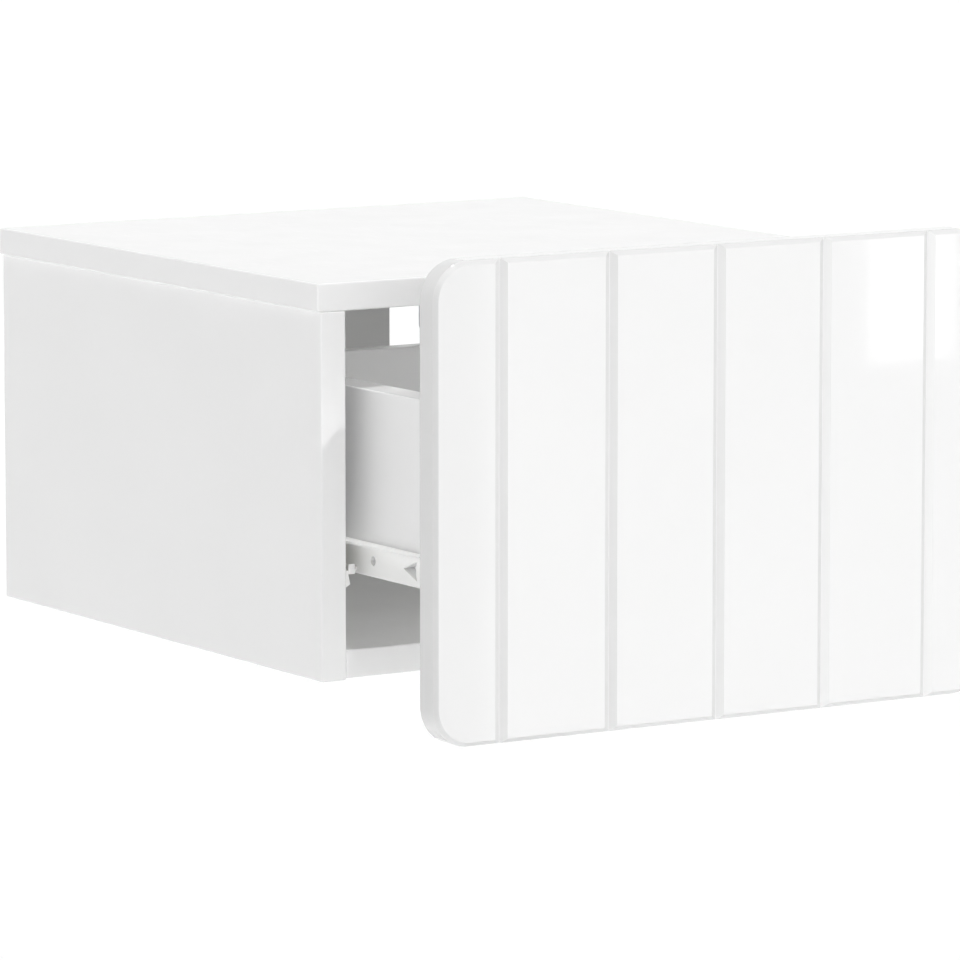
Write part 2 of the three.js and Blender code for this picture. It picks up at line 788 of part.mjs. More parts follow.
// Drawer front: rounded corners, a chamfered front edge and upright V grooves that run off both ends
function drawerFront() {
  const bottom = -frontDrop;
  const top = bottom + frontHeight;
  const outline = roundedRectangle(-frontWidth / 2, frontWidth / 2, bottom, top, frontCornerRadius);
  const panel = drawnAlongY(outline, -frontThickness + frontChamfer, 0, {
    bevelEnabled: true,
    bevelThickness: frontChamfer,
    bevelSize: frontChamfer,
    bevelOffset: -frontChamfer,
    bevelSegments: 1,
  });
  const behind = box(
    new THREE.Vector3(-frontWidth, 0, bottom - frontHeight),
    new THREE.Vector3(frontWidth, frontThickness, top + frontHeight),
  );
  const grooves = Array.from({ length: grooveCount }, (_, index) => {
    const across = (index - (grooveCount - 1) / 2) * groovePitch;
    const diamond = new THREE.BoxGeometry(Math.SQRT2, Math.SQRT2, frontHeight + 2 * overrun).rotateZ(Math.PI / 4);
    return diamond.scale(grooveWidth / 2, grooveDepth, 1).translate(across, -frontThickness, (bottom + top) / 2);
  });
  const bottomGroove = drawerBottomSlot(-drawerBottomGroove, overrun, drawerInner + drawerBottomGroove);
  const threads = sides.flatMap(drawerCamJoints).map((joint) => boltThreadBore(joint.boltFrame));
  return named("drawer_front", cut(panel, [behind, ...grooves, bottomGroove, ...threads]), "glossWhite");
}

// The slot that the drawer's bottom slides in
function drawerBottomSlot(front, rear, reach) {
  const low = drawerLift + drawerBottomRise - slipFit;
  const high = drawerLift + drawerBottomRise + drawerBottomThickness + slipFit;
  return box(new THREE.Vector3(-reach, front, low), new THREE.Vector3(reach, rear, high));
}

function drawerSide(side) {
  const low = new THREE.Vector3(drawerInner, 0, drawerLift);
  const high = new THREE.Vector3(drawerOuter, drawerSideLength, drawerTop);
  const board = mirrorBox(side.sign, low, high, easedBoard);
  const slot = drawerBottomSlot(-overrun, drawerSideLength + overrun, drawerInner + drawerBottomGroove);
  const housing = mirrorBox(
    side.sign,
    new THREE.Vector3(
      drawerInner - overrun,
      drawerSideLength - drawerBackThickness - looseFit,
      drawerLift + drawerBottomRise,
    ),
    new THREE.Vector3(drawerInner + drawerBackHousing, drawerSideLength + overrun, drawerTop + overrun),
  );
  const cams = drawerCamJoints(side).flatMap((joint) => [
    camBore(joint.camFrame),
    boltShaftBore(joint.boltFrame),
  ]);
  const screws = drawerRunnerScrews(side).map((screw) => screwBore(screw.frame));
  const geometry = cut(board, [slot, housing, ...cams, ...screws]);
  return named(`drawer_${side.name}_side`, geometry, "glossWhite");
}

function drawerBack() {
  const reach = drawerInner + drawerBackHousing - looseFit;
  const low = drawerLift + drawerBottomRise + drawerBottomThickness + looseFit;
  const board = easedBoard(
    new THREE.Vector3(-reach, drawerSideLength - drawerBackThickness, low),
    new THREE.Vector3(reach, drawerSideLength, drawerTop),
  );
  return named("drawer_back", board, "glossWhite");
}

function drawerBottom() {
  const reach = drawerInner + drawerBottomGroove - looseFit;
  const low = drawerLift + drawerBottomRise;
  const sheet = box(
    new THREE.Vector3(-reach, -drawerBottomGroove + looseFit, low),
    new THREE.Vector3(reach, drawerSideLength, low + drawerBottomThickness),
  );
  return named("drawer_bottom", sheet, "backBoard");
}

// The carcass hangs on the wall, and the drawer group is drawn out in front of it
function buildCarcass() {
  const carcass = new THREE.Group();
  carcass.add(topPanel(), bottomPanel(), backPanel());
  for (const side of sides) {
    carcass.add(sidePanel(side), wallBracket(side), cabinetRunner(side));
    carcass.add(...[...topCamJoints(side), ...bottomCamJoints(side)].flatMap(camJointMeshes));
    carcass.add(...screwMeshes([...bracketScrews(side), ...cabinetRunnerScrews(side)]));
    const frame = frontRollerFrame(side);
    carcass.add(...rollerMeshes(side, "cabinet", frontRollerRadius, frontShoulderLength, frame));
  }
  return carcass;
}

function buildDrawer() {
  const drawer = new THREE.Group();
  drawer.add(drawerFront(), drawerBack(), drawerBottom());
  for (const side of sides) {
    drawer.add(drawerSide(side), drawerRunner(side));
    drawer.add(...drawerCamJoints(side).flatMap(camJointMeshes));
    drawer.add(...screwMeshes(drawerRunnerScrews(side)));
    drawer.add(...rollerMeshes(side, "drawer", rearRollerRadius, rearShoulderLength, rearRollerFrame(side)));
  }
  drawer.position.set(0, drawerBackY, 0);
  return drawer;
}

const nightstand = new THREE.Group();
nightstand.add(buildCarcass(), buildDrawer());
nightstand.position.set(0, 0, boardThickness / 2 - carcassHeight);
nightstand.updateMatrixWorld(true);

export default nightstand;
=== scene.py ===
"""Floating nightstand: white gloss boards, a grooved drawer front and a pair of roller runners."""

import json
import math

import bpy
from mathutils import Matrix, Vector


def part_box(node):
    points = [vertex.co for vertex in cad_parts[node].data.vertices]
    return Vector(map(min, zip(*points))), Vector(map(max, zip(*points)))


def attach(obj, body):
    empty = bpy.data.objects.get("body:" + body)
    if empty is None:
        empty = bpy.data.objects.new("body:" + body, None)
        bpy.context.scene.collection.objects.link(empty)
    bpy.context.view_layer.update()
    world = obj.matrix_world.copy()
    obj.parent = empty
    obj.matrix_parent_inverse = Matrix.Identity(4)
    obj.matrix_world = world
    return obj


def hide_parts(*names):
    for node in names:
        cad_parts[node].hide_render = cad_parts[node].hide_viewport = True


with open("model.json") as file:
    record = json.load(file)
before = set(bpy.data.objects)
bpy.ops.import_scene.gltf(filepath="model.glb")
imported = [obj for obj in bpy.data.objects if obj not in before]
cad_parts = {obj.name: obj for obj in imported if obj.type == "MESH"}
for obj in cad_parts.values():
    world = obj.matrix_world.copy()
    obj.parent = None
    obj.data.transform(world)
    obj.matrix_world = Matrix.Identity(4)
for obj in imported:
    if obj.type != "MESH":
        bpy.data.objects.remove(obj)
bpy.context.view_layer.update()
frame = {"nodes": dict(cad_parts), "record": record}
bpy.ops.object.select_all(action="DESELECT")

MM = 0.001
SIDES = (("left", -1), ("right", 1))
UP, DOWN, FORWARD = (0, 0, 1), (0, 0, -1), (0, -1, 0)
QUARTER_TURN = math.radians(90)
WHITE, BLACK = (1, 1, 1, 1), (0, 0, 0, 1)
SAME_PLACE = 0.02 * MM
OVERRUN = 1 * MM
SMOOTH_BELOW = 35

# Camera: turn and pitch in radians, lens and sensor in millimetres
CAMERA_PLACE = (-1.9526, -3.3395, 0.3806)
CAMERA_AZIMUTH = 0.5607
CAMERA_PITCH = 0.1360
CAMERA_LENS = 252.47
SENSOR_WIDTH = 36.0
CAMERA_REACH = 100

# Light: the room darkens between two heights, lamps are given in degrees, and a reflector by its
# brightness, its gap to the drawer front, and its reach across and upright
HORIZON_LIGHT = 1.8
UPPER_LIGHT = 0.03
UPPER_FROM, UPPER_TO = 0.12, 0.45
KEY_STRENGTH = 0.9
KEY_ELEVATION = 44
KEY_SOFTNESS = 1.5
OVERHEAD_STRENGTH = 1.76
OVERHEAD_ELEVATION = 80
OVERHEAD_SOFTNESS = 9
LIGHT_BOUNCES = 24
AMBIENT_LIGHT = 0.03
AMBIENT_REACH = 0.03
BROAD_REFLECTOR = (0.72, 1.19, (0, 3), (-0.6, 0.5))
STEP_REFLECTOR = (0.54, 1.195, (0.606, 3), (-0.6, 0.5))
SMALL_REFLECTOR = (1.2, 1.2, (0.948, 1.028), (-0.216, -0.113))
GROOVE_REFLECTORS = (
    (0.54, 1.185, (-0.81, -0.2), (-0.6, 0.5)),
    (0.67, 1.18, (-0.73, -0.2), (-0.6, 0.5)),
    (0.5, 1.175, (-0.65, -0.2), (-0.6, 0.5)),
)
CARD_PLACE = (-1.02, -0.99, 0)
CARD_SIZE = (0.5, 1.3)
CARD_TURN = 122
FLOOR_DROP = -0.62
FLOOR_SIZE = 60.0
FLOOR_WHITENING = 0.06

# Boards
BOARD_EASE = 0.9 * MM
EASE_STEPS = 3
GROOVE_SPARE = 0.2 * MM
CUT_OUT_WIDTH = 84 * MM
CUT_OUT_HEIGHT = 75 * MM

# Drawer front
CORNER_RADIUS = 21 * MM
CORNER_STEPS = 20
FRONT_CHAMFER = 2.3 * MM
FINISH_EASE = 0.3 * MM
REAR_EASE = 0.6 * MM
GROOVE_COUNT = 5
GROOVE_PITCH = 67 * MM
GROOVE_WIDTH = 7.5 * MM
GROOVE_DEPTH = 2.5 * MM
GROOVE_EASE = 0.4 * MM
GROOVE_SMOOTH_BELOW = 32

# Rolled steel
STRIP = 1.2 * MM
STRIP_BEND = 1.3 * MM
BEND_STEPS = 3
HOLE_RADIUS = 2.5 * MM
HOLE_RISE = 9 * MM
HOLE_BACK = 90.7 * MM
HOLE_PATTERN_PITCH = 96 * MM
ARROW_BACK = 46.7 * MM
ARROW_LENGTH = 13.6 * MM
ARROW_HALF_HEIGHT = 5.4 * MM
ARROW_HOLLOW = 1.2 * MM
ARROW_BASE_FACETS = 96
HOLE_RECESS = 5 * MM
HOOD_WIDTH = 8 * MM
HOOD_SETBACK = 44 * MM
LIP_WIDTH = 1 * MM
LIP_HEIGHT = 1.5 * MM
TONGUE_INSET = 2 * MM
TONGUE_WIDTH = 3.4 * MM
TONGUE_HEIGHT = 4 * MM
TONGUE_REACH = 6 * MM
STOP_GAP = 5.9 * MM
STOP_LENGTH = 3 * MM
STOP_HEIGHT = 1.5 * MM
NOSE_DROP = 8 * MM
NOSE_TIP = 1.5 * MM
NOSE_FLARE = 1.4 * MM
NOSE_LENGTH = 9 * MM
PLATE = 2 * MM
PLATE_BEND = 3 * MM
BRACKET_CORNER = 6 * MM
BRACKET_CORNER_STEPS = 10
FLANGE_CORNER = 2.5 * MM
KEYHOLE_DROP = 36 * MM
KEYHOLE_RISE = 12 * MM
KEYHOLE_RADIUS = 5 * MM
KEYHOLE_SLOT_RADIUS = 2.8 * MM

# Hardboard
BARE_SKIN = 0.2 * MM

# Fasteners and rollers
BORE_SPARE = 0.3 * MM
FINE_FACETS = 48
FLAT = 0.99
SCREW_HEAD = 3.2 * MM
SCREW_RIM = 0.2 * MM
SCREW_HEAD_LENGTH = 2 * MM
SCREW_SHANK = 1.6 * MM
SCREW_LENGTH = 12 * MM
SCREW_TIP = 0.1 * MM
SCREW_CROSS = (3.6 * MM, 0.8 * MM, 1 * MM)
CAM_RADIUS = 7.3 * MM
CAM_RIM = 0.4 * MM
CAM_LENGTH = 12.2 * MM
CAM_BOLT_DEPTH = 7.5 * MM
CAM_CLAW = 1.4 * MM
CAM_CLAW_RADIUS = 2.9 * MM
CAM_THROAT_RADIUS = 2 * MM
CAM_CROSS = (7 * MM, 1.3 * MM, 1.6 * MM)
CAM_MARK = 1 * MM
CAM_MARK_DEPTH = 0.4 * MM
CAM_MARK_PLACE = 5.5 * MM
ROLLER_RIM_EASE = 0.5 * MM
ROLLER_RIM = 1.3 * MM
ROLLER_DISH = 1 * MM
ROLLER_HOLLOW = 1.4 * MM
RIVET_RADIUS = 2 * MM
RIVET_FOOT = 1.6 * MM
RIVET_HEAD = 3.4 * MM
RIVET_HEAD_LENGTH = 0.7 * MM

# Coated faces: patterns by their size, detail and the range that shows
DRIFT_SCALE, DRIFT_DETAIL, DRIFT_RANGE = 9, 4, (0.3, 0.7)
SMUDGE_SCALE, SMUDGE_DETAIL = 30, 5
WIPE_STRETCH, WIPE_DETAIL, WIPE_RANGE = (900, 60, 900), 3, (0.55, 0.75)
WIPE_SHARE = 0.5
PEEL_DETAIL = 2
SWELL_SCALE, SWELL_DETAIL, SWELL_SHARE = 0.15, 1, 2

# Metal
SPOT_SCALE, SPOT_DETAIL, SPOT_RANGE = 160, 6, (0.45, 0.7)
SCRATCH_STRETCHES = ((4000, 260, 2600), (300, 4200, 900))
SCRATCH_DETAIL, SCRATCH_RANGE = 2, (0.58, 0.66)
SCRATCH_DEPTH = 0.3
GRAIN_DETAIL = 3

# Pressed wood
CHIP_STRETCH = (1, 1, 2.5)
CHIP_SHARE = 0.6
FIBRE_SCALE, FIBRE_DETAIL = 3, 5
FIBRE_RANGE = (0.35, 1.2)
FIBRE_COLOUR = (0.40, 0.25, 0.14, 1)
GAP_COLOUR = (0.22, 0.12, 0.06, 1)
FIBRE_ROUGHNESS = 0.8
FIBRE_RELIEF = (1500, 0.05 * MM)


# Picking parts of a mesh in edit mode, and working on them
def edit(obj):
    bpy.ops.object.select_all(action="DESELECT")
    obj.select_set(True)
    bpy.context.view_layer.objects.active = obj
    bpy.ops.object.mode_set(mode="EDIT")


def leave_edit():
    bpy.ops.object.mode_set(mode="OBJECT")
    bpy.ops.object.select_all(action="DESELECT")


def pick(mode, parts, test):
    """Select what passes the test; the flags of a mesh are set in object mode."""
    bpy.ops.mesh.select_mode(type=mode)
    bpy.ops.mesh.select_all(action="DESELECT")
    bpy.ops.object.mode_set(mode="OBJECT")
    for part in parts:
        part.select = test(part)
    bpy.ops.object.mode_set(mode="EDIT")


def pick_edges(obj, test):
    points = obj.data.vertices
    pick("EDGE", obj.data.edges, lambda edge: test(*(points[index].co for index in edge.vertices)))


def pick_faces(obj, test):
    pick("FACE", obj.data.polygons, lambda face: test(face.center, face.normal))


def pick_corners(obj, test):
    pick("VERT", obj.data.vertices, lambda vertex: test(vertex.co))


def near(a, b):
    return abs(a - b) < SAME_PLACE


def bevel_edges(obj, width, steps, test):
    pick_edges(obj, test)
    bpy.ops.mesh.bevel(offset=width, segments=steps, affect="EDGES")


def round_corners(obj, radius, steps, test):
    pick_corners(obj, test)
    bpy.ops.mesh.bevel(offset=radius, segments=steps, affect="VERTICES")


def extrude(move):
    bpy.ops.mesh.extrude_region_move(TRANSFORM_OT_translate={"value": move})


def recalculate_normals():
    bpy.ops.mesh.select_all(action="SELECT")
    bpy.ops.mesh.normals_make_consistent(inside=False)


def named(name):
    """The primitive just added, under its name and with its place in its mesh."""
    obj = bpy.context.object
    obj.name = name
    obj.data.name = name
    bpy.ops.object.transform_apply(location=True, rotation=True, scale=True)
    obj.select_set(False)
    return obj


def apply_modifier(obj, kind, **settings):
    modifier = obj.modifiers.new(kind.title(), kind)
    for key, value in settings.items():
        setattr(modifier, key, value)
    bpy.context.view_layer.objects.active = obj
    bpy.ops.object.modifier_apply(modifier=modifier.name)


def combine(obj, tools, operation):
    for tool in tools:
        apply_modifier(obj, "BOOLEAN", object=tool, operation=operation, solver="EXACT")
        bpy.data.objects.remove(tool)
    return obj


def cut(obj, *tools):
    return combine(obj, tools, "DIFFERENCE")


def join(obj, *tools):
    return combine(obj, tools, "UNION")


def smooth(obj, degrees):
    obj.select_set(True)
    bpy.context.view_layer.objects.active = obj
    bpy.ops.object.shade_smooth_by_angle(angle=math.radians(degrees))
    obj.select_set(False)


def block(name, low, high):
    low, high = Vector(low), Vector(high)
    bpy.ops.mesh.primitive_cube_add(size=1, location=(low + high) / 2, scale=high - low)
    return named(name)


def side_block(name, sign, low, high):
    """A block on one side of the piece, its X given as a distance from the middle."""
    ends = sorted((sign * low[0], sign * high[0]))
    return block(name, (ends[0], low[1], low[2]), (ends[1], high[1], high[2]))


def rod(name, start, end, radius, facets=FINE_FACETS):
    start, end = Vector(start), Vector(end)
    bpy.ops.mesh.primitive_cylinder_add(
        vertices=facets,
        radius=radius,
        depth=(end - start).length,
        location=(start + end) / 2,
        rotation=(end - start).to_track_quat("Z", "Y").to_euler(),
    )
    return named(name)


# Where the pieces of the frame sit
def span(node, axis):
    low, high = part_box(node)
    return low[axis], high[axis]


def centre(node):
    low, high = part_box(node)
    return (low + high) / 2


def inner_and_outer(node, sign):
    """How far the inner and the outer face of a piece lie from the middle."""
    low, high = span(node, 0)
    return sorted((sign * low, sign * high))


def bore(node):
    """A rod that leaves room for a fastener, along a long one and through a flat one."""
    low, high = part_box(node)
    size = high - low
    shortest, middle, longest = sorted(range(3), key=lambda axis: size[axis])
    flat = size[longest] - size[middle] < size[middle] - size[shortest]
    along = shortest if flat else longest
    start, end = (low + high) / 2, (low + high) / 2
    start[along] = low[along] - OVERRUN
    end[along] = high[along] + OVERRUN
    return rod("bore", start, end, size[middle] / 2 + BORE_SPARE)


def bores(*nodes):
    return [bore(node) for node in nodes]


def cams_of(group):
    return [f"{group}_{place}_cam" for place in ("front", "rear")]


def bolts_of(group):
    return [f"{cam}_bolt" for cam in cams_of(group)]


def screws_of(group):
    return [f"{group}_{place}_screw" for place in ("front", "rear")]


DRAWER_CAMS = {
    side: [f"drawer_{side}_{level}_cam" for level in ("lower", "upper")] for side, _ in SIDES
}


# Boards with softly eased edges
def eased_board(node):
    obj = block(f"lacquered_{node}", *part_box(node))
    apply_modifier(obj, "BEVEL", width=BOARD_EASE, segments=EASE_STEPS, limit_method="NONE")
    return obj


def back_groove(low, high):
    """The cutter for a groove that holds the back panel, between two corners in X and Z."""
    near_y, far_y = span("back_panel", 1)
    return block(
        "groove",
        (low[0], near_y - GROOVE_SPARE, low[1]),
        (high[0], far_y + GROOVE_SPARE, high[1]),
    )


def top_panel():
    obj = eased_board("top_panel")
    underside, _ = span("top_panel", 2)
    _, panel_top = span("back_panel", 2)
    reach = inner_and_outer("right_side_panel", 1)[0] - CUT_OUT_WIDTH + GROOVE_SPARE
    groove = back_groove((-reach, underside - OVERRUN), (reach, panel_top + GROOVE_SPARE))
    fasteners = [
        node
        for side, _ in SIDES
        for node in (*bolts_of(f"{side}_top"), f"{side}_bracket_top_screw")
    ]
    return cut(obj, groove, *bores(*fasteners))


def side_panel(side, sign):
    node = f"{side}_side_panel"
    obj = eased_board(node)
    inner, _ = inner_and_outer(node, sign)
    _, reach = inner_and_outer("back_panel", sign)
    low, _ = span("bottom_panel", 2)
    ledge = span("top_panel", 2)[0] - CUT_OUT_HEIGHT
    ends = sorted((sign * (inner - OVERRUN), sign * (reach + GROOVE_SPARE)))
    groove = back_groove((ends[0], low), (ends[1], ledge + GROOVE_SPARE))
    fasteners = (
        *cams_of(f"{side}_top"),
        *bolts_of(f"{side}_top"),
        *bolts_of(f"{side}_bottom"),
        f"{side}_bracket_side_screw",
        *screws_of(f"{side}_cabinet_runner"),
    )
    return cut(obj, groove, *bores(*fasteners))


def bottom_panel():
    obj = eased_board("bottom_panel")
    low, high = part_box("bottom_panel")
    groove_floor, _ = span("back_panel", 2)
    groove = back_groove(
        (low.x - OVERRUN, groove_floor - GROOVE_SPARE), (high.x + OVERRUN, high.z + OVERRUN)
    )
    fasteners = [
        node
        for side, _ in SIDES
        for node in (*cams_of(f"{side}_bottom"), *bolts_of(f"{side}_bottom"))
    ]
    return cut(obj, groove, *bores(*fasteners))


def drawer_side(side, sign):
    node = f"drawer_{side}_side"
    obj = eased_board(node)
    low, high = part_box(node)
    inner, web = inner_and_outer(node, sign)
    slot_low, slot_high = span("drawer_bottom", 2)
    _, slot_reach = inner_and_outer("drawer_bottom", sign)
    slot = side_block(
        "slot",
        sign,
        (inner - OVERRUN, low.y - OVERRUN, slot_low - GROOVE_SPARE),
        (slot_reach + GROOVE_SPARE, high.y + OVERRUN, slot_high + GROOVE_SPARE),
    )
    back_low, back_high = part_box("drawer_back")
    housing = side_block(
        "housing",
        sign,
        (inner - OVERRUN, back_low.y - GROOVE_SPARE, slot_low),
        (back_high.x + GROOVE_SPARE, back_high.y + OVERRUN, high.z + OVERRUN),
    )
    fasteners = [*DRAWER_CAMS[side], *(f"{cam}_bolt" for cam in DRAWER_CAMS[side])]
    runner = f"{side}_drawer_runner"
    recesses = runner_holes(runner, (sign * (web - HOLE_RECESS), sign * (web + OVERRUN)))
    return cut(obj, slot, housing, *recesses, *bores(*fasteners, *screws_of(runner)))


# Drawer front
def drawer_front():
    """Rounded corners, a chamfered edge, V grooves that run off both ends, bores at the rear."""
    low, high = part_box("drawer_front")
    obj = block("grooved_drawer_front", low, high)

    def on_chamfer(depth):
        return near(depth, low.y) or near(depth, low.y + FRONT_CHAMFER)

    edit(obj)
    bevel_edges(obj, CORNER_RADIUS, CORNER_STEPS, lambda a, b: near(a.x, b.x) and near(a.z, b.z))
    bevel_edges(obj, FRONT_CHAMFER, 1, lambda a, b: near(a.y, low.y) and near(b.y, low.y))
    bevel_edges(obj, FINISH_EASE, EASE_STEPS, lambda a, b: near(a.y, b.y) and on_chamfer(a.y))
    bevel_edges(obj, REAR_EASE, EASE_STEPS, lambda a, b: near(a.y, high.y) and near(b.y, high.y))
    leave_edit()
    bottom_low, bottom_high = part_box("drawer_bottom")
    slot = block(
        "slot",
        (bottom_low.x - GROOVE_SPARE, bottom_low.y - GROOVE_SPARE, bottom_low.z - GROOVE_SPARE),
        (bottom_high.x + GROOVE_SPARE, high.y + OVERRUN, bottom_high.z + GROOVE_SPARE),
    )
    bolts = [f"{cam}_bolt" for side, _ in SIDES for cam in DRAWER_CAMS[side]]
    middles = [(index - (GROOVE_COUNT - 1) / 2) * GROOVE_PITCH for index in range(GROOVE_COUNT)]
    return cut(obj, *(groove_cutter(across, low, high) for across in middles), slot, *bores(*bolts))


def groove_cutter(across, low, high):
    """A bar of four sides whose rear half is as wide and deep as the groove, its edge eased."""
    bpy.ops.mesh.primitive_cylinder_add(
        vertices=4,
        radius=1,
        depth=high.z - low.z + 2 * OVERRUN,
        location=(across, low.y, (low.z + high.z) / 2),
        end_fill_type="NGON",
    )
    bpy.context.object.scale = (GROOVE_WIDTH / 2, GROOVE_DEPTH, 1)
    obj = named("groove")

    def along_rear_edge(a, b):
        return near(a.x, b.x) and near(a.y, b.y) and a.y > low.y + GROOVE_DEPTH / 2

    edit(obj)
    bevel_edges(obj, GROOVE_EASE, EASE_STEPS, along_rear_edge)
    leave_edit()
    return obj


# Sheet steel
def folded_strip(name, sign, start, steps, ends):
    """A strip folded along Y: it starts at a free edge and goes on by steps across and up."""
    across, height = start
    front, rear = ends
    flange = steps[0][0]
    bpy.ops.mesh.primitive_plane_add(
        size=1, location=(sign * (across + flange / 2), (front + rear) / 2, height)
    )
    bpy.context.object.scale = (abs(flange), rear - front, 1)
    obj = named(name)
    folds = [Vector((sign * (across + flange), 0, height))]
    edit(obj)
    pick_edges(obj, lambda a, b: near(a.x, folds[0].x) and near(b.x, folds[0].x))
    for out, up in steps[1:]:
        move = Vector((sign * out, 0, up))
        extrude(move)
        folds.append(folds[-1] + move)

    def on_fold(a, b):
        along = near(a.x, b.x) and near(a.z, b.z)
        return along and any(near(a.x, fold.x) and near(a.z, fold.z) for fold in folds[:-1])

    bevel_edges(obj, STRIP_BEND, BEND_STEPS, on_fold)
    recalculate_normals()
    leave_edit()
    apply_modifier(obj, "SOLIDIFY", thickness=STRIP, offset=0, use_even_offset=True)
    return obj


def drawer_runner(side, sign):
    node = f"{side}_drawer_runner"
    low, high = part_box(node)
    _, web = inner_and_outer(f"drawer_{side}_side", sign)
    inner, outer = inner_and_outer(node, sign)
    half = STRIP / 2
    steps = ((web + half - outer, 0), (0, low.z - high.z + STRIP), (inner - web - half, 0))
    obj = folded_strip(f"folded_{node}", sign, (outer, high.z - half), steps, (low.y, high.y))
    holes = runner_holes(node, (sign * (web - OVERRUN), sign * (web + STRIP + OVERRUN)))
    return cut(obj, *holes, rivet_hole(side, "drawer", sign, web + half), *bores(*screws_of(node)))


def runner_holes(node, ends):
    """The punches for the round and the arrow-shaped holes in a drawer runner's web."""
    low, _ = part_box(node)
    height = low.z + HOLE_RISE
    tools = []
    for shift in (0, HOLE_PATTERN_PITCH):
        hole_y = low.y + HOLE_BACK + shift
        tools.append(rod("hole", (ends[0], hole_y, height), (ends[1], hole_y, height), HOLE_RADIUS))
        tools.append(arrow(ends, low.y + ARROW_BACK + shift, height))
    return tools


def rivet_hole(side, place, sign, web):
    """The punch for the hole in a runner's web that the foot of its roller's rivet fills."""
    _, middle_y, middle_z = centre(f"{side}_{place}_roller")
    ends = [(sign * (web + reach), middle_y, middle_z) for reach in (-STRIP, STRIP)]
    return rod("rivet_hole", *ends, RIVET_FOOT + BORE_SPARE)


def arrow(face, back, height):
    """An arrow-shaped punch that points to the rear, with a hollow base."""
    low, high = sorted(face)
    tip = back + ARROW_LENGTH
    bottom, top = height - ARROW_HALF_HEIGHT, height + ARROW_HALF_HEIGHT
    obj = block("arrow", (low, back, bottom), (high, tip, top))
    edit(obj)
    pick_edges(obj, lambda a, b: near(a.y, tip) and near(b.y, tip) and near(a.x, b.x))
    bpy.ops.mesh.edge_collapse()
    leave_edit()
    radius = (ARROW_HALF_HEIGHT**2 + ARROW_HOLLOW**2) / (2 * ARROW_HOLLOW)
    middle = back + ARROW_HOLLOW - radius
    start, end = (low - OVERRUN, middle, height), (high + OVERRUN, middle, height)
    return cut(obj, rod("base", start, end, radius, ARROW_BASE_FACETS))


def cabinet_runner(side, sign):
    node = f"{side}_cabinet_runner"
    low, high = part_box(node)
    inner, outer = inner_and_outer(node, sign)
    half = STRIP / 2
    track = low.z + NOSE_DROP
    steps = (
        (HOOD_WIDTH - half, 0),
        (0, track - high.z),
        (inner - outer + STRIP, 0),
        (0, half + LIP_HEIGHT),
    )
    start = (outer - HOOD_WIDTH, high.z - half)
    obj = folded_strip(f"folded_{node}", sign, start, steps, (low.y, high.y))
    tongues = [
        side_block(
            "tongue",
            sign,
            (outer - TONGUE_INSET - TONGUE_WIDTH, front, track - half),
            (outer - TONGUE_INSET, front + STRIP, track + TONGUE_HEIGHT),
        )
        for front in (low.y, high.y - STRIP)
    ]
    stop_y = span(f"{side}_cabinet_roller", 1)[1] + STOP_GAP
    stop = side_block(
        "stop",
        sign,
        (inner + half, stop_y, track - half),
        (outer - half, stop_y + STOP_LENGTH, track + STOP_HEIGHT),
    )
    join(obj, *tongues, stop, nose(sign, outer, low, track))
    relief = side_block(
        "relief",
        sign,
        (inner + LIP_WIDTH, low.y + STRIP + OVERRUN, track),
        (inner + STRIP + GROOVE_SPARE, high.y - STRIP - OVERRUN, high.z),
    )
    notch = side_block(
        "notch",
        sign,
        (inner - OVERRUN, low.y - OVERRUN, high.z - STRIP_BEND - STRIP),
        (outer - STRIP, low.y + HOOD_SETBACK, high.z + OVERRUN),
    )
    web_end = side_block(
        "web_end",
        sign,
        (outer - STRIP - GROOVE_SPARE, low.y - OVERRUN, track + half),
        (outer + OVERRUN, low.y + TONGUE_REACH, high.z + OVERRUN),
    )
    track_end = side_block(
        "track_end",
        sign,
        (inner - OVERRUN, low.y - OVERRUN, track - STRIP),
        (outer - TONGUE_INSET - TONGUE_WIDTH, low.y + TONGUE_REACH, high.z),
    )
    punch = rivet_hole(side, "cabinet", sign, outer - half)
    return cut(obj, relief, notch, web_end, track_end, punch, *bores(*screws_of(node)))


def nose(sign, outer, low, track):
    """The pointed end that the web turns down and inwards at the front."""
    tip = outer - STRIP - NOSE_FLARE
    obj = side_block("nose", sign, (tip, low.y, low.z), (outer, low.y + NOSE_LENGTH, track))
    edit(obj)
    pick_corners(obj, lambda place: near(sign * place.x, tip) and near(place.z, low.z))
    bpy.ops.transform.translate(value=(0, 0, NOSE_TIP))
    pick_corners(obj, lambda place: near(sign * place.x, tip) and near(place.z, track))
    bpy.ops.transform.translate(value=(sign * NOSE_FLARE, 0, 0))
    leave_edit()
    return obj


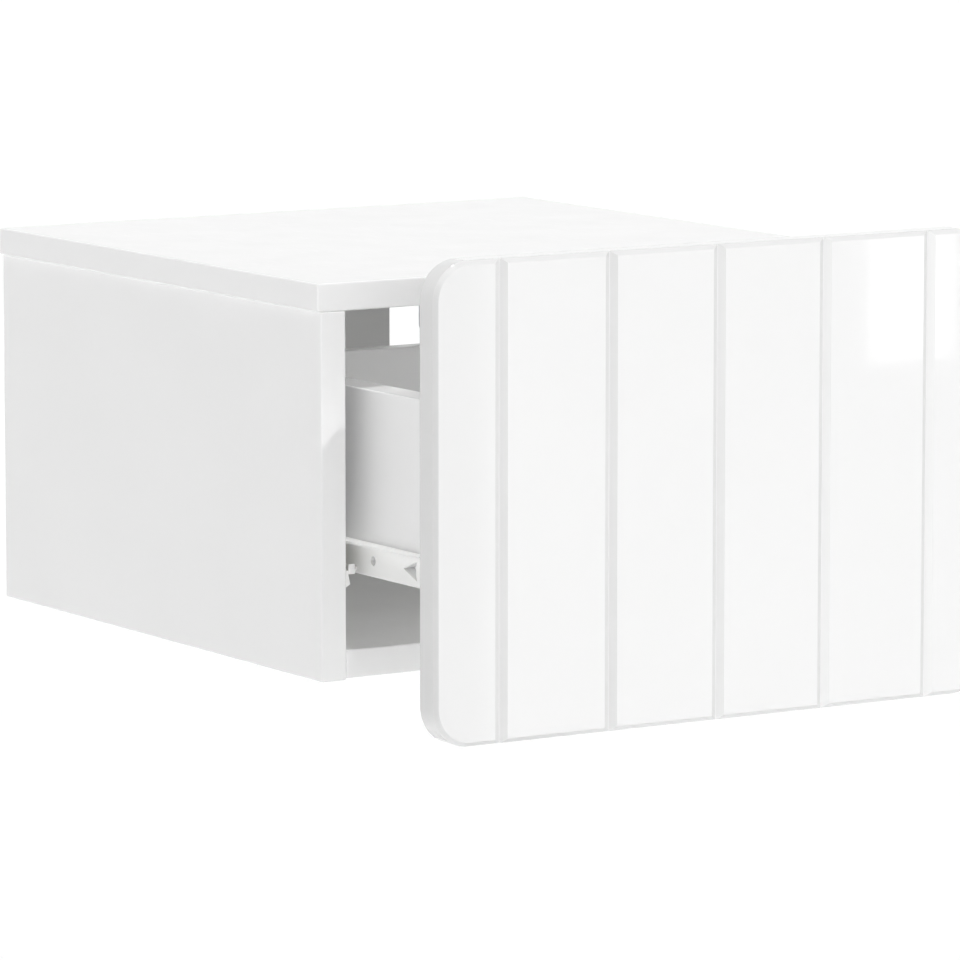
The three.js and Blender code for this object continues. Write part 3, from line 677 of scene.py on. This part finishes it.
def wall_bracket(side, sign):
    """Three sides of a box, folded round, with their free corners rounded and a keyhole."""
    node = f"{side}_wall_bracket"
    low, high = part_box(node)
    inner, outer = (low.x, high.x) if sign > 0 else (high.x, low.x)
    obj = block(f"pressed_{node}", low, high)

    def open_side(place, _):
        return near(place.y, low.y) or near(place.z, low.z) or near(place.x, inner)

    def fold(a, b):
        return sum((
            near(a.x, outer) and near(b.x, outer),
            near(a.y, high.y) and near(b.y, high.y),
            near(a.z, high.z) and near(b.z, high.z),
        )) == 2

    def plate_corner(place):
        return near(place.x, inner) and near(place.z, low.z)

    def flange_corner(place):
        return near(place.y, low.y) and (near(place.x, inner) or near(place.z, low.z))

    edit(obj)
    pick_faces(obj, open_side)
    bpy.ops.mesh.delete(type="FACE")
    bevel_edges(obj, PLATE_BEND, BEND_STEPS, fold)
    round_corners(obj, BRACKET_CORNER, BRACKET_CORNER_STEPS, plate_corner)
    round_corners(obj, FLANGE_CORNER, EASE_STEPS, flange_corner)
    leave_edit()
    apply_modifier(obj, "SOLIDIFY", thickness=PLATE, offset=-1, use_even_offset=True)
    middle = (inner + outer) / 2
    head = high.z - KEYHOLE_DROP
    top = head + KEYHOLE_RISE
    front, rear = high.y - PLATE - OVERRUN, high.y + OVERRUN
    keyhole = (
        rod("hole", (middle, front, head), (middle, rear, head), KEYHOLE_RADIUS),
        rod("hole", (middle, front, top), (middle, rear, top), KEYHOLE_SLOT_RADIUS),
        block(
            "slot",
            (middle - KEYHOLE_SLOT_RADIUS, front, head),
            (middle + KEYHOLE_SLOT_RADIUS, rear, top),
        ),
    )
    return cut(obj, *keyhole, *bores(f"{side}_bracket_side_screw", f"{side}_bracket_top_screw"))


# Turned and moulded pieces
def turned(name, rings):
    """A disc at the first ring, drawn on down Z from ring to ring, each a height and a radius."""
    height, radius = rings[0]
    bpy.ops.mesh.primitive_circle_add(
        vertices=FINE_FACETS, radius=radius, fill_type="NGON", location=(0, 0, height)
    )
    obj = named(name)
    edit(obj)
    bpy.ops.mesh.select_mode(type="FACE")
    bpy.ops.mesh.select_all(action="SELECT")
    for next_height, next_radius in rings[1:]:
        extrude((0, 0, next_height - height))
        ratio = next_radius / radius
        bpy.ops.transform.resize(value=(ratio, ratio, 1), center_override=(0, 0, 0))
        height, radius = next_height, next_radius
    recalculate_normals()
    leave_edit()
    return obj


def cross_slot(length, width, depth):
    return [
        block("slot", (-length / 2, -width / 2, -depth), (length / 2, width / 2, OVERRUN)),
        block("slot", (-width / 2, -length / 2, -depth), (width / 2, length / 2, OVERRUN)),
    ]


def screw():
    rings = (
        (0, SCREW_HEAD - SCREW_RIM),
        (-SCREW_RIM, SCREW_HEAD),
        (-SCREW_HEAD_LENGTH, SCREW_SHANK),
        (-SCREW_LENGTH + SCREW_HEAD_LENGTH, SCREW_SHANK),
        (-SCREW_LENGTH, SCREW_TIP),
    )
    return cut(turned("screw", rings), *cross_slot(*SCREW_CROSS))


def cam():
    rings = (
        (0, CAM_RADIUS - CAM_RIM),
        (-CAM_RIM, CAM_RADIUS),
        (-CAM_LENGTH, CAM_RADIUS),
    )
    obj = turned("cam", rings)
    bed = -CAM_BOLT_DEPTH
    claw = rod("claw", (-CAM_CLAW, 0, bed), (CAM_CLAW, 0, bed), CAM_CLAW_RADIUS)
    throat = rod("throat", (0, 0, bed), (CAM_RADIUS + OVERRUN, 0, bed), CAM_THROAT_RADIUS)
    bpy.ops.mesh.primitive_cylinder_add(
        vertices=3,
        radius=CAM_MARK,
        depth=2 * CAM_MARK_DEPTH,
        location=(CAM_MARK_PLACE, 0, 0),
        rotation=(0, 0, -QUARTER_TURN),
    )
    mark = named("mark")
    return cut(obj, claw, throat, mark, *cross_slot(*CAM_CROSS))


def roller(radius, width):
    bpy.ops.mesh.primitive_cylinder_add(vertices=FINE_FACETS, radius=radius, depth=width)
    obj = named("roller")
    edit(obj)
    bevel_edges(obj, ROLLER_RIM_EASE, EASE_STEPS, lambda a, b: near(a.z, b.z))
    hollow = (width - 2 * ROLLER_HOLLOW) / width
    pick_faces(obj, lambda place, normal: abs(normal.z) > FLAT and place.xy.length < radius / 2)
    bpy.ops.mesh.inset(thickness=ROLLER_RIM)
    bpy.ops.transform.resize(value=(1, 1, hollow), center_override=(0, 0, 0))
    bpy.ops.mesh.inset(thickness=ROLLER_DISH)
    bpy.ops.transform.resize(value=(1, 1, 1 / hollow), center_override=(0, 0, 0))
    leave_edit()
    return cut(obj, rod("bore", (0, 0, -width), (0, 0, width), RIVET_RADIUS + BORE_SPARE))


def rivet(length, width):
    neck = RIVET_HEAD_LENGTH + width + 2 * BORE_SPARE
    rings = (
        (0, RIVET_RADIUS),
        (-RIVET_HEAD_LENGTH / 2, RIVET_HEAD),
        (-RIVET_HEAD_LENGTH, RIVET_HEAD),
        (-RIVET_HEAD_LENGTH, RIVET_RADIUS),
        (-neck, RIVET_RADIUS),
        (-neck, RIVET_HEAD),
        (STRIP - length, RIVET_HEAD),
        (STRIP - length, RIVET_FOOT),
        (-length, RIVET_FOOT),
    )
    return turned("rivet", rings)


def copy_onto(template, node, word, out, along):
    """A copy of a turned piece, its top set on the face of a node that looks along `out`."""
    low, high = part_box(node)
    out, along = Vector(out), Vector(along)
    reach = abs((high - low).dot(out)) / 2
    obj = template.copy()
    obj.data = template.data.copy()
    bpy.context.scene.collection.objects.link(obj)
    obj.name = f"{word}_{node}"
    obj.data.name = obj.name
    turn = Matrix((along, out.cross(along), out)).transposed().to_4x4()
    obj.data.transform(Matrix.Translation(centre(node) + out * reach) @ turn)
    return obj


# Nodes
def connect(tree, value, socket):
    """Link a socket's value on to another socket, or set a plain value there."""
    if isinstance(value, bpy.types.NodeSocket):
        tree.links.new(value, socket)
    else:
        socket.default_value = value


def add_node(tree, kind, **inputs):
    """A node whose named inputs are linked to sockets or set to values."""
    node = tree.nodes.new(f"ShaderNode{kind}")
    for name, value in inputs.items():
        connect(tree, value, node.inputs[name.replace("_", " ")])
    return node


def maths(tree, operation, *values):
    node = tree.nodes.new("ShaderNodeMath")
    node.operation = operation
    for value, socket in zip(values, node.inputs):
        connect(tree, value, socket)
    return node.outputs["Value"]


def vector_maths(tree, operation, first, second):
    node = tree.nodes.new("ShaderNodeVectorMath")
    node.operation = operation
    connect(tree, first, node.inputs[0])
    connect(tree, second, node.inputs["Scale" if operation == "SCALE" else 1])
    return node.outputs["Vector"]


def between(tree, value, low, high, to_low=0.0, to_high=1.0):
    """Value eased from one range to another."""
    node = add_node(
        tree,
        "MapRange",
        Value=value,
        From_Min=low,
        From_Max=high,
        To_Min=to_low,
        To_Max=to_high,
    )
    node.interpolation_type = "SMOOTHSTEP"
    return node.outputs["Result"]


def mixed(tree, kind, mask, first, second):
    """Two colours ("RGBA"), values ("FLOAT") or normals ("VECTOR"), mixed by a mask."""
    node = tree.nodes.new("ShaderNodeMix")
    node.data_type = kind
    factor, first_input, second_input = (socket for socket in node.inputs if socket.enabled)
    connect(tree, mask, factor)
    connect(tree, first, first_input)
    connect(tree, second, second_input)
    return next(socket for socket in node.outputs if socket.enabled)


def noise(tree, place, scale, detail):
    return add_node(tree, "TexNoise", Vector=place, Scale=scale, Detail=detail).outputs["Fac"]


def stretched(tree, place, way):
    return vector_maths(tree, "MULTIPLY", place, way)


def new_group(name, inputs, outputs):
    """A shader node group: its tree, its given values, its result and Object coordinates."""
    group = bpy.data.node_groups.new(name, "ShaderNodeTree")
    kinds = {"Colour": "NodeSocketColor", "Normal": "NodeSocketVector"}
    for way, names in (("INPUT", inputs), ("OUTPUT", outputs)):
        for socket_name in names:
            kind = kinds.get(socket_name.split()[-1], "NodeSocketFloat")
            group.interface.new_socket(name=socket_name, in_out=way, socket_type=kind)
    given, result = group.nodes.new("NodeGroupInput"), group.nodes.new("NodeGroupOutput")
    place = group.nodes.new("ShaderNodeTexCoord").outputs["Object"]
    return group, given.outputs, result.inputs, place


def bumped(tree, height, distance):
    return add_node(tree, "Bump", Height=height, Distance=distance, Strength=1.0).outputs["Normal"]


# Effects that several materials share
SKIN_INPUTS = (
    "Colour",
    "Tone Change",
    "Roughness",
    "Gloss Change",
    "Relief Scale",
    "Relief Height",
)
SKIN_OUTPUTS = ("Colour", "Roughness", "Normal")


def coated_surface():
    """A sprayed face: faint tone drift, smudges and wipe marks in the gloss, swell and peel."""
    tree, given, result, place = new_group("coated_surface", SKIN_INPUTS, SKIN_OUTPUTS)
    drift = between(tree, noise(tree, place, DRIFT_SCALE, DRIFT_DETAIL), *DRIFT_RANGE)
    tone = maths(tree, "SUBTRACT", 1, maths(tree, "MULTIPLY", drift, given["Tone Change"]))
    connect(tree, vector_maths(tree, "SCALE", given["Colour"], tone), result["Colour"])

    smudges = noise(tree, place, SMUDGE_SCALE, SMUDGE_DETAIL)
    wipes = noise(tree, stretched(tree, place, WIPE_STRETCH), 1, WIPE_DETAIL)
    wiped = between(tree, wipes, *WIPE_RANGE)
    gloss = maths(tree, "MULTIPLY_ADD", wiped, WIPE_SHARE, smudges)
    roughness = maths(tree, "MULTIPLY_ADD", gloss, given["Gloss Change"], given["Roughness"])
    connect(tree, roughness, result["Roughness"])

    peel = noise(tree, place, given["Relief Scale"], PEEL_DETAIL)
    swell_scale = maths(tree, "MULTIPLY", given["Relief Scale"], SWELL_SCALE)
    swell = noise(tree, place, swell_scale, SWELL_DETAIL)
    height = maths(tree, "MULTIPLY_ADD", swell, SWELL_SHARE, peel)
    connect(tree, bumped(tree, height, given["Relief Height"]), result["Normal"])
    return tree


def metal_skin():
    """Bare or plated metal: crystal patches, dull spots, fine scratches two ways and a grain."""
    tree, given, result, place = new_group("metal_skin", SKIN_INPUTS, SKIN_OUTPUTS)
    crystals = add_node(tree, "TexVoronoi", Vector=place, Scale=given["Relief Scale"])
    patch = add_node(tree, "SeparateXYZ", Vector=crystals.outputs["Color"]).outputs["X"]
    spots = between(tree, noise(tree, place, SPOT_SCALE, SPOT_DETAIL), *SPOT_RANGE)
    uneven = maths(tree, "MULTIPLY", maths(tree, "ADD", patch, spots), given["Tone Change"])
    tone = maths(tree, "SUBTRACT", 1, uneven)
    connect(tree, vector_maths(tree, "SCALE", given["Colour"], tone), result["Colour"])

    scratched = [
        between(tree, noise(tree, stretched(tree, place, way), 1, SCRATCH_DETAIL), *SCRATCH_RANGE)
        for way in SCRATCH_STRETCHES
    ]
    marks = maths(tree, "ADD", maths(tree, "MAXIMUM", *scratched), spots)
    roughness = maths(tree, "MULTIPLY_ADD", marks, given["Gloss Change"], given["Roughness"])
    connect(tree, roughness, result["Roughness"])

    grain = noise(tree, place, given["Relief Scale"], GRAIN_DETAIL)
    relief = maths(tree, "SUBTRACT", grain, maths(tree, "MULTIPLY", scratched[0], SCRATCH_DEPTH))
    connect(tree, bumped(tree, relief, given["Relief Height"]), result["Normal"])
    return tree


def wood_particles():
    """Pressed wood: flat chips or fibres in mixed browns, with dark gaps between them."""
    tree, given, result, place = new_group(
        "wood_particles",
        ("Light Colour", "Dark Colour", "Relief Scale", "Relief Height"),
        ("Colour", "Normal"),
    )
    flat = stretched(tree, place, CHIP_STRETCH)
    chips = add_node(tree, "TexVoronoi", Vector=flat, Scale=given["Relief Scale"])
    shade = add_node(tree, "SeparateXYZ", Vector=chips.outputs["Color"]).outputs["X"]
    fibre_scale = maths(tree, "MULTIPLY", given["Relief Scale"], FIBRE_SCALE)
    fibres = noise(tree, flat, fibre_scale, FIBRE_DETAIL)
    uneven = maths(tree, "ADD", maths(tree, "MULTIPLY", shade, CHIP_SHARE), fibres)
    depth = between(tree, uneven, *FIBRE_RANGE)
    brown = mixed(tree, "RGBA", depth, given["Light Colour"], given["Dark Colour"])
    connect(tree, brown, result["Colour"])
    relief = maths(tree, "ADD", chips.outputs["Distance"], fibres)
    connect(tree, bumped(tree, relief, given["Relief Height"]), result["Normal"])
    return tree


COATED = coated_surface()
METAL = metal_skin()
PARTICLES = wood_particles()


# Materials
def principled(name, **values):
    material = bpy.data.materials.new(name)
    material.use_nodes = True
    shader = material.node_tree.nodes["Principled BSDF"]
    for key, value in values.items():
        shader.inputs[key.replace("_", " ")].default_value = value
    return material, material.node_tree, shader


def effect(tree, group, **inputs):
    node = tree.nodes.new("ShaderNodeGroup")
    node.node_tree = group
    for name, value in inputs.items():
        connect(tree, value, node.inputs[name.replace("_", " ")])
    return node.outputs


def skinned(group, name, colour, roughness, tone_change, gloss_change, relief, **values):
    """A material whose colour, roughness and normal come from one shared effect.

    Its relief is given by how many bumps a metre holds, and by their height.
    """
    material, tree, shader = principled(name, **values)
    scale, height = relief
    skin = effect(
        tree,
        group,
        Colour=(*colour, 1),
        Tone_Change=tone_change,
        Roughness=roughness,
        Gloss_Change=gloss_change,
        Relief_Scale=scale,
        Relief_Height=height,
    )
    connect(tree, skin["Colour"], shader.inputs["Base Color"])
    connect(tree, skin["Roughness"], shader.inputs["Roughness"])
    connect(tree, skin["Normal"], shader.inputs["Normal"])
    return material


def bare_backed(name, finish, limit):
    """A copy of a white finish that gives way to bare brown fibre behind a limit."""
    material = finish.copy()
    material.name = name
    tree = material.node_tree
    shader = tree.nodes["Principled BSDF"]
    place = tree.nodes.new("ShaderNodeTexCoord").outputs["Object"]
    depth = add_node(tree, "SeparateXYZ", Vector=place).outputs["Y"]
    bare = maths(tree, "GREATER_THAN", depth, limit)
    fibre = effect(
        tree,
        PARTICLES,
        Light_Colour=FIBRE_COLOUR,
        Dark_Colour=GAP_COLOUR,
        Relief_Scale=FIBRE_RELIEF[0],
        Relief_Height=FIBRE_RELIEF[1],
    )
    for kind, key, brown in (
        ("RGBA", "Base Color", fibre["Colour"]),
        ("FLOAT", "Roughness", FIBRE_ROUGHNESS),
        ("VECTOR", "Normal", fibre["Normal"]),
    ):
        socket = shader.inputs[key]
        white = socket.links[0].from_socket
        connect(tree, mixed(tree, kind, bare, white, brown), socket)
    return material


# Painted shade: the front's white is set darker than the boards' to darken its edge and chamfer
front_white_darkened_for_painted_shade = skinned(
    COATED,
    "high_gloss_front_white_darkened_for_painted_shade",
    colour=(0.7, 0.7, 0.7),
    roughness=0.06,
    tone_change=0.008,
    gloss_change=0.03,
    relief=(260, 0.006 * MM),
    Coat_Weight=1.0,
    Coat_Roughness=0.02,
)
board_lacquer = skinned(
    COATED,
    "satin_board_lacquer",
    colour=(0.9, 0.9, 0.9),
    roughness=0.2,
    tone_change=0.012,
    gloss_change=0.045,
    relief=(420, 0.008 * MM),
)
runner_epoxy = skinned(
    COATED,
    "white_epoxy_on_steel",
    colour=(0.88, 0.88, 0.87),
    roughness=0.28,
    tone_change=0.02,
    gloss_change=0.12,
    relief=(1400, 0.02 * MM),
)
natural_nylon = skinned(
    COATED,
    "natural_nylon",
    colour=(0.8, 0.79, 0.75),
    roughness=0.38,
    tone_change=0.04,
    gloss_change=0.1,
    relief=(2200, 0.01 * MM),
    Subsurface_Weight=0.2,
    Subsurface_Scale=2 * MM,
)
white_hardboard = skinned(
    COATED,
    "white_faced_hardboard",
    colour=(0.9, 0.9, 0.89),
    roughness=0.32,
    tone_change=0.02,
    gloss_change=0.08,
    relief=(900, 0.02 * MM),
)
bright_zinc = skinned(
    METAL,
    "bright_zinc_plate",
    colour=(0.5, 0.51, 0.53),
    roughness=0.28,
    tone_change=0.12,
    gloss_change=0.14,
    relief=(2600, 0.008 * MM),
    Metallic=1.0,
)
# Painted shade: the brackets' zinc is set darker than the screws', as if they stood in shade
painted_shade_zinc = skinned(
    METAL,
    "painted_shade_zinc_plate",
    colour=(0.3, 0.31, 0.33),
    roughness=0.36,
    tone_change=0.12,
    gloss_change=0.14,
    relief=(2600, 0.008 * MM),
    Metallic=1.0,
)
cast_zinc = skinned(
    METAL,
    "cast_zinc",
    colour=(0.44, 0.44, 0.45),
    roughness=0.42,
    tone_change=0.16,
    gloss_change=0.16,
    relief=(3400, 0.04 * MM),
    Metallic=1.0,
)
bare_from = span("back_panel", 1)[1] - BARE_SKIN
back_hardboard = bare_backed("hardboard_bare_at_the_rear", white_hardboard, bare_from)

NODE_FINISH = {
    "drawer_front": front_white_darkened_for_painted_shade,
    "back_panel": back_hardboard,
    "left_wall_bracket": painted_shade_zinc,
    "right_wall_bracket": painted_shade_zinc,
}
SLOT_FINISH = {
    "white_gloss_board": board_lacquer,
    "white_fibreboard": white_hardboard,
    "white_coated_steel": runner_epoxy,
    "zinc_plated_steel": bright_zinc,
    "zinc_casting": cast_zinc,
    "nylon": natural_nylon,
}


def finish_with(obj, material):
    obj.data.materials.clear()
    obj.data.materials.append(material)


NODE_SLOT = {part["node"]: part["material_slot"] for part in frame["record"]["subparts"]}
NODE_BODY = {
    node: body
    for body, nodes in frame["record"]["behaviour"]["bodies"].items()
    for node in nodes
}


def finish_of(node):
    return NODE_FINISH.get(node) or SLOT_FINISH[NODE_SLOT[node]]


for node in NODE_SLOT:
    finish_with(frame["nodes"][node], finish_of(node))


def dress(obj, node, degrees=SMOOTH_BELOW):
    """The finished piece takes its node's place, body, slot and finish."""
    smooth(obj, degrees)
    apply_modifier(obj, "WEIGHTED_NORMAL", keep_sharp=True)
    finish_with(obj, finish_of(node))
    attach(obj, NODE_BODY[node])
    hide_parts(node)


def dress_copy(template, node, word, out, along):
    """A copy of a turned piece, dressed as the node that it stands for."""
    dress(copy_onto(template, node, word, out, along), node)


dress(drawer_front(), "drawer_front", GROOVE_SMOOTH_BELOW)
dress(top_panel(), "top_panel")
dress(bottom_panel(), "bottom_panel")
dress(eased_board("drawer_back"), "drawer_back")

screw_shape = screw()
cam_shape = cam()
roller_width = span("left_cabinet_roller", 0)[1] - span("left_cabinet_roller", 0)[0]
for place in ("cabinet", "drawer"):
    roller_low, roller_high = span(f"left_{place}_roller", 2)
    rivet_low, rivet_high = span(f"left_{place}_roller_rivet", 0)
    roller_shape = roller((roller_high - roller_low) / 2, roller_width)
    rivet_shape = rivet(rivet_high - rivet_low, roller_width)
    for side, sign in SIDES:
        node = f"{side}_{place}_roller"
        out = -sign if place == "cabinet" else sign
        wheel = copy_onto(roller_shape, node, "nylon", (out, 0, 0), UP)
        wheel.data.transform(Matrix.Translation((-out * roller_width / 2, 0, 0)))
        dress(wheel, node)
        dress_copy(rivet_shape, f"{node}_rivet", "turned", (out, 0, 0), UP)
    bpy.data.objects.remove(roller_shape)
    bpy.data.objects.remove(rivet_shape)

for side, sign in SIDES:
    inward, outward = (-sign, 0, 0), (sign, 0, 0)
    dress(side_panel(side, sign), f"{side}_side_panel")
    dress(drawer_side(side, sign), f"drawer_{side}_side")
    dress(wall_bracket(side, sign), f"{side}_wall_bracket")
    dress(cabinet_runner(side, sign), f"{side}_cabinet_runner")
    dress(drawer_runner(side, sign), f"{side}_drawer_runner")
    for node in cams_of(f"{side}_top"):
        dress_copy(cam_shape, node, "cast", inward, UP)
    for node in cams_of(f"{side}_bottom"):
        dress_copy(cam_shape, node, "cast", DOWN, outward)
    for node in DRAWER_CAMS[side]:
        dress_copy(cam_shape, node, "cast", inward, FORWARD)
    for node in (f"{side}_bracket_side_screw", *screws_of(f"{side}_cabinet_runner")):
        dress_copy(screw_shape, node, "countersunk", inward, UP)
    for node in screws_of(f"{side}_drawer_runner"):
        dress_copy(screw_shape, node, "countersunk", outward, UP)
    dress_copy(screw_shape, f"{side}_bracket_top_screw", "countersunk", DOWN, FORWARD)
bpy.data.objects.remove(screw_shape)
bpy.data.objects.remove(cam_shape)


# Camera, light and floor
def camera():
    forward = Vector((
        math.sin(CAMERA_AZIMUTH) * math.cos(CAMERA_PITCH),
        math.cos(CAMERA_AZIMUTH) * math.cos(CAMERA_PITCH),
        -math.sin(CAMERA_PITCH),
    ))
    bpy.ops.object.camera_add(
        location=CAMERA_PLACE, rotation=forward.to_track_quat("-Z", "Y").to_euler()
    )
    view = bpy.context.object
    view.data.lens = CAMERA_LENS
    view.data.sensor_width = SENSOR_WIDTH
    view.data.sensor_fit = "HORIZONTAL"
    view.data.clip_end = CAMERA_REACH
    bpy.context.scene.camera = view


def room():
    """A white room that is brightest near the horizon; to camera and gloss it is plain white."""
    world = bpy.data.worlds.new("white_studio")
    bpy.context.scene.world = world
    world.use_nodes = True
    world.light_settings.ao_factor = AMBIENT_LIGHT
    world.light_settings.distance = AMBIENT_REACH
    tree = world.node_tree
    place = add_node(tree, "TexCoord").outputs["Generated"]
    height = add_node(tree, "SeparateXYZ", Vector=place).outputs["Z"]
    level = between(tree, height, UPPER_FROM, UPPER_TO, HORIZON_LIGHT, UPPER_LIGHT)
    light = tree.nodes["Background"]
    connect(tree, WHITE, light.inputs["Color"])
    connect(tree, level, light.inputs["Strength"])

    plain = add_node(tree, "Background", Color=WHITE)
    path = add_node(tree, "LightPath").outputs
    seen = maths(tree, "MAXIMUM", path["Is Camera Ray"], path["Is Glossy Ray"])
    seen = maths(tree, "MAXIMUM", seen, path["Is Transmission Ray"])
    mix = add_node(tree, "MixShader", Fac=seen)
    connect(tree, light.outputs["Background"], mix.inputs[1])
    connect(tree, plain.outputs["Background"], mix.inputs[2])
    connect(tree, mix.outputs["Shader"], tree.nodes["World Output"].inputs["Surface"])


def floor():
    """A pale floor that takes the shadow and is lifted a little towards white for the camera."""
    bpy.ops.mesh.primitive_plane_add(size=FLOOR_SIZE, location=(0, 0, FLOOR_DROP))
    sheet = named("floor")
    pale = skinned(
        COATED,
        "pale_floor",
        colour=(0.97, 0.97, 0.97),
        roughness=0.8,
        tone_change=0.0,
        gloss_change=0.02,
        relief=(300, 0.01 * MM),
    )
    tree = pale.node_tree
    shader = tree.nodes["Principled BSDF"]
    camera_ray = add_node(tree, "LightPath").outputs["Is Camera Ray"]
    whitening = maths(tree, "MULTIPLY", camera_ray, FLOOR_WHITENING)
    connect(tree, WHITE, shader.inputs["Emission Color"])
    connect(tree, whitening, shader.inputs["Emission Strength"])
    finish_with(sheet, pale)


def lamp(strength, elevation, softness):
    """A distant light from straight ahead, at an elevation and with a breadth in degrees."""
    bpy.ops.object.light_add(type="SUN", rotation=(QUARTER_TURN - math.radians(elevation), 0, 0))
    light = bpy.context.object.data
    light.energy = strength
    light.angle = math.radians(softness)


def reflector(brightness, gap, across, upright):
    """A lit panel ahead of the drawer front that shows only where something glossy reflects it."""
    face, _ = span("drawer_front", 1)
    middle = sum(across) / 2, face - gap, sum(upright) / 2
    bpy.ops.object.light_add(type="AREA", location=middle, rotation=(QUARTER_TURN, 0, 0))
    panel = bpy.context.object
    panel.visible_diffuse = False
    light = panel.data
    light.shape = "RECTANGLE"
    light.size = across[1] - across[0]
    light.size_y = upright[1] - upright[0]
    light.energy = brightness * math.pi * light.size * light.size_y


def dark_card():
    """A black card at the front's left that shows only as its reflection in the chamfered edge."""
    bpy.ops.mesh.primitive_plane_add(
        size=1, location=CARD_PLACE, rotation=(QUARTER_TURN, 0, math.radians(CARD_TURN))
    )
    bpy.context.object.scale = (*CARD_SIZE, 1)
    card = named("card")
    black, _, _ = principled("black_card", Base_Color=BLACK, Roughness=1.0, Specular_IOR_Level=0.0)
    finish_with(card, black)
    card.visible_camera = card.visible_diffuse = False
    card.visible_transmission = card.visible_shadow = False


camera()
room()
lamp(KEY_STRENGTH, KEY_ELEVATION, KEY_SOFTNESS)
lamp(OVERHEAD_STRENGTH, OVERHEAD_ELEVATION, OVERHEAD_SOFTNESS)
for panel in (BROAD_REFLECTOR, STEP_REFLECTOR, SMALL_REFLECTOR, *GROOVE_REFLECTORS):
    reflector(*panel)
dark_card()
floor()

scene = bpy.context.scene
scene.view_settings.view_transform = "Standard"
scene.cycles.diffuse_bounces = LIGHT_BOUNCES
scene.cycles.max_bounces = LIGHT_BOUNCES
scene.cycles.use_fast_gi = True
scene.cycles.fast_gi_method = "ADD"
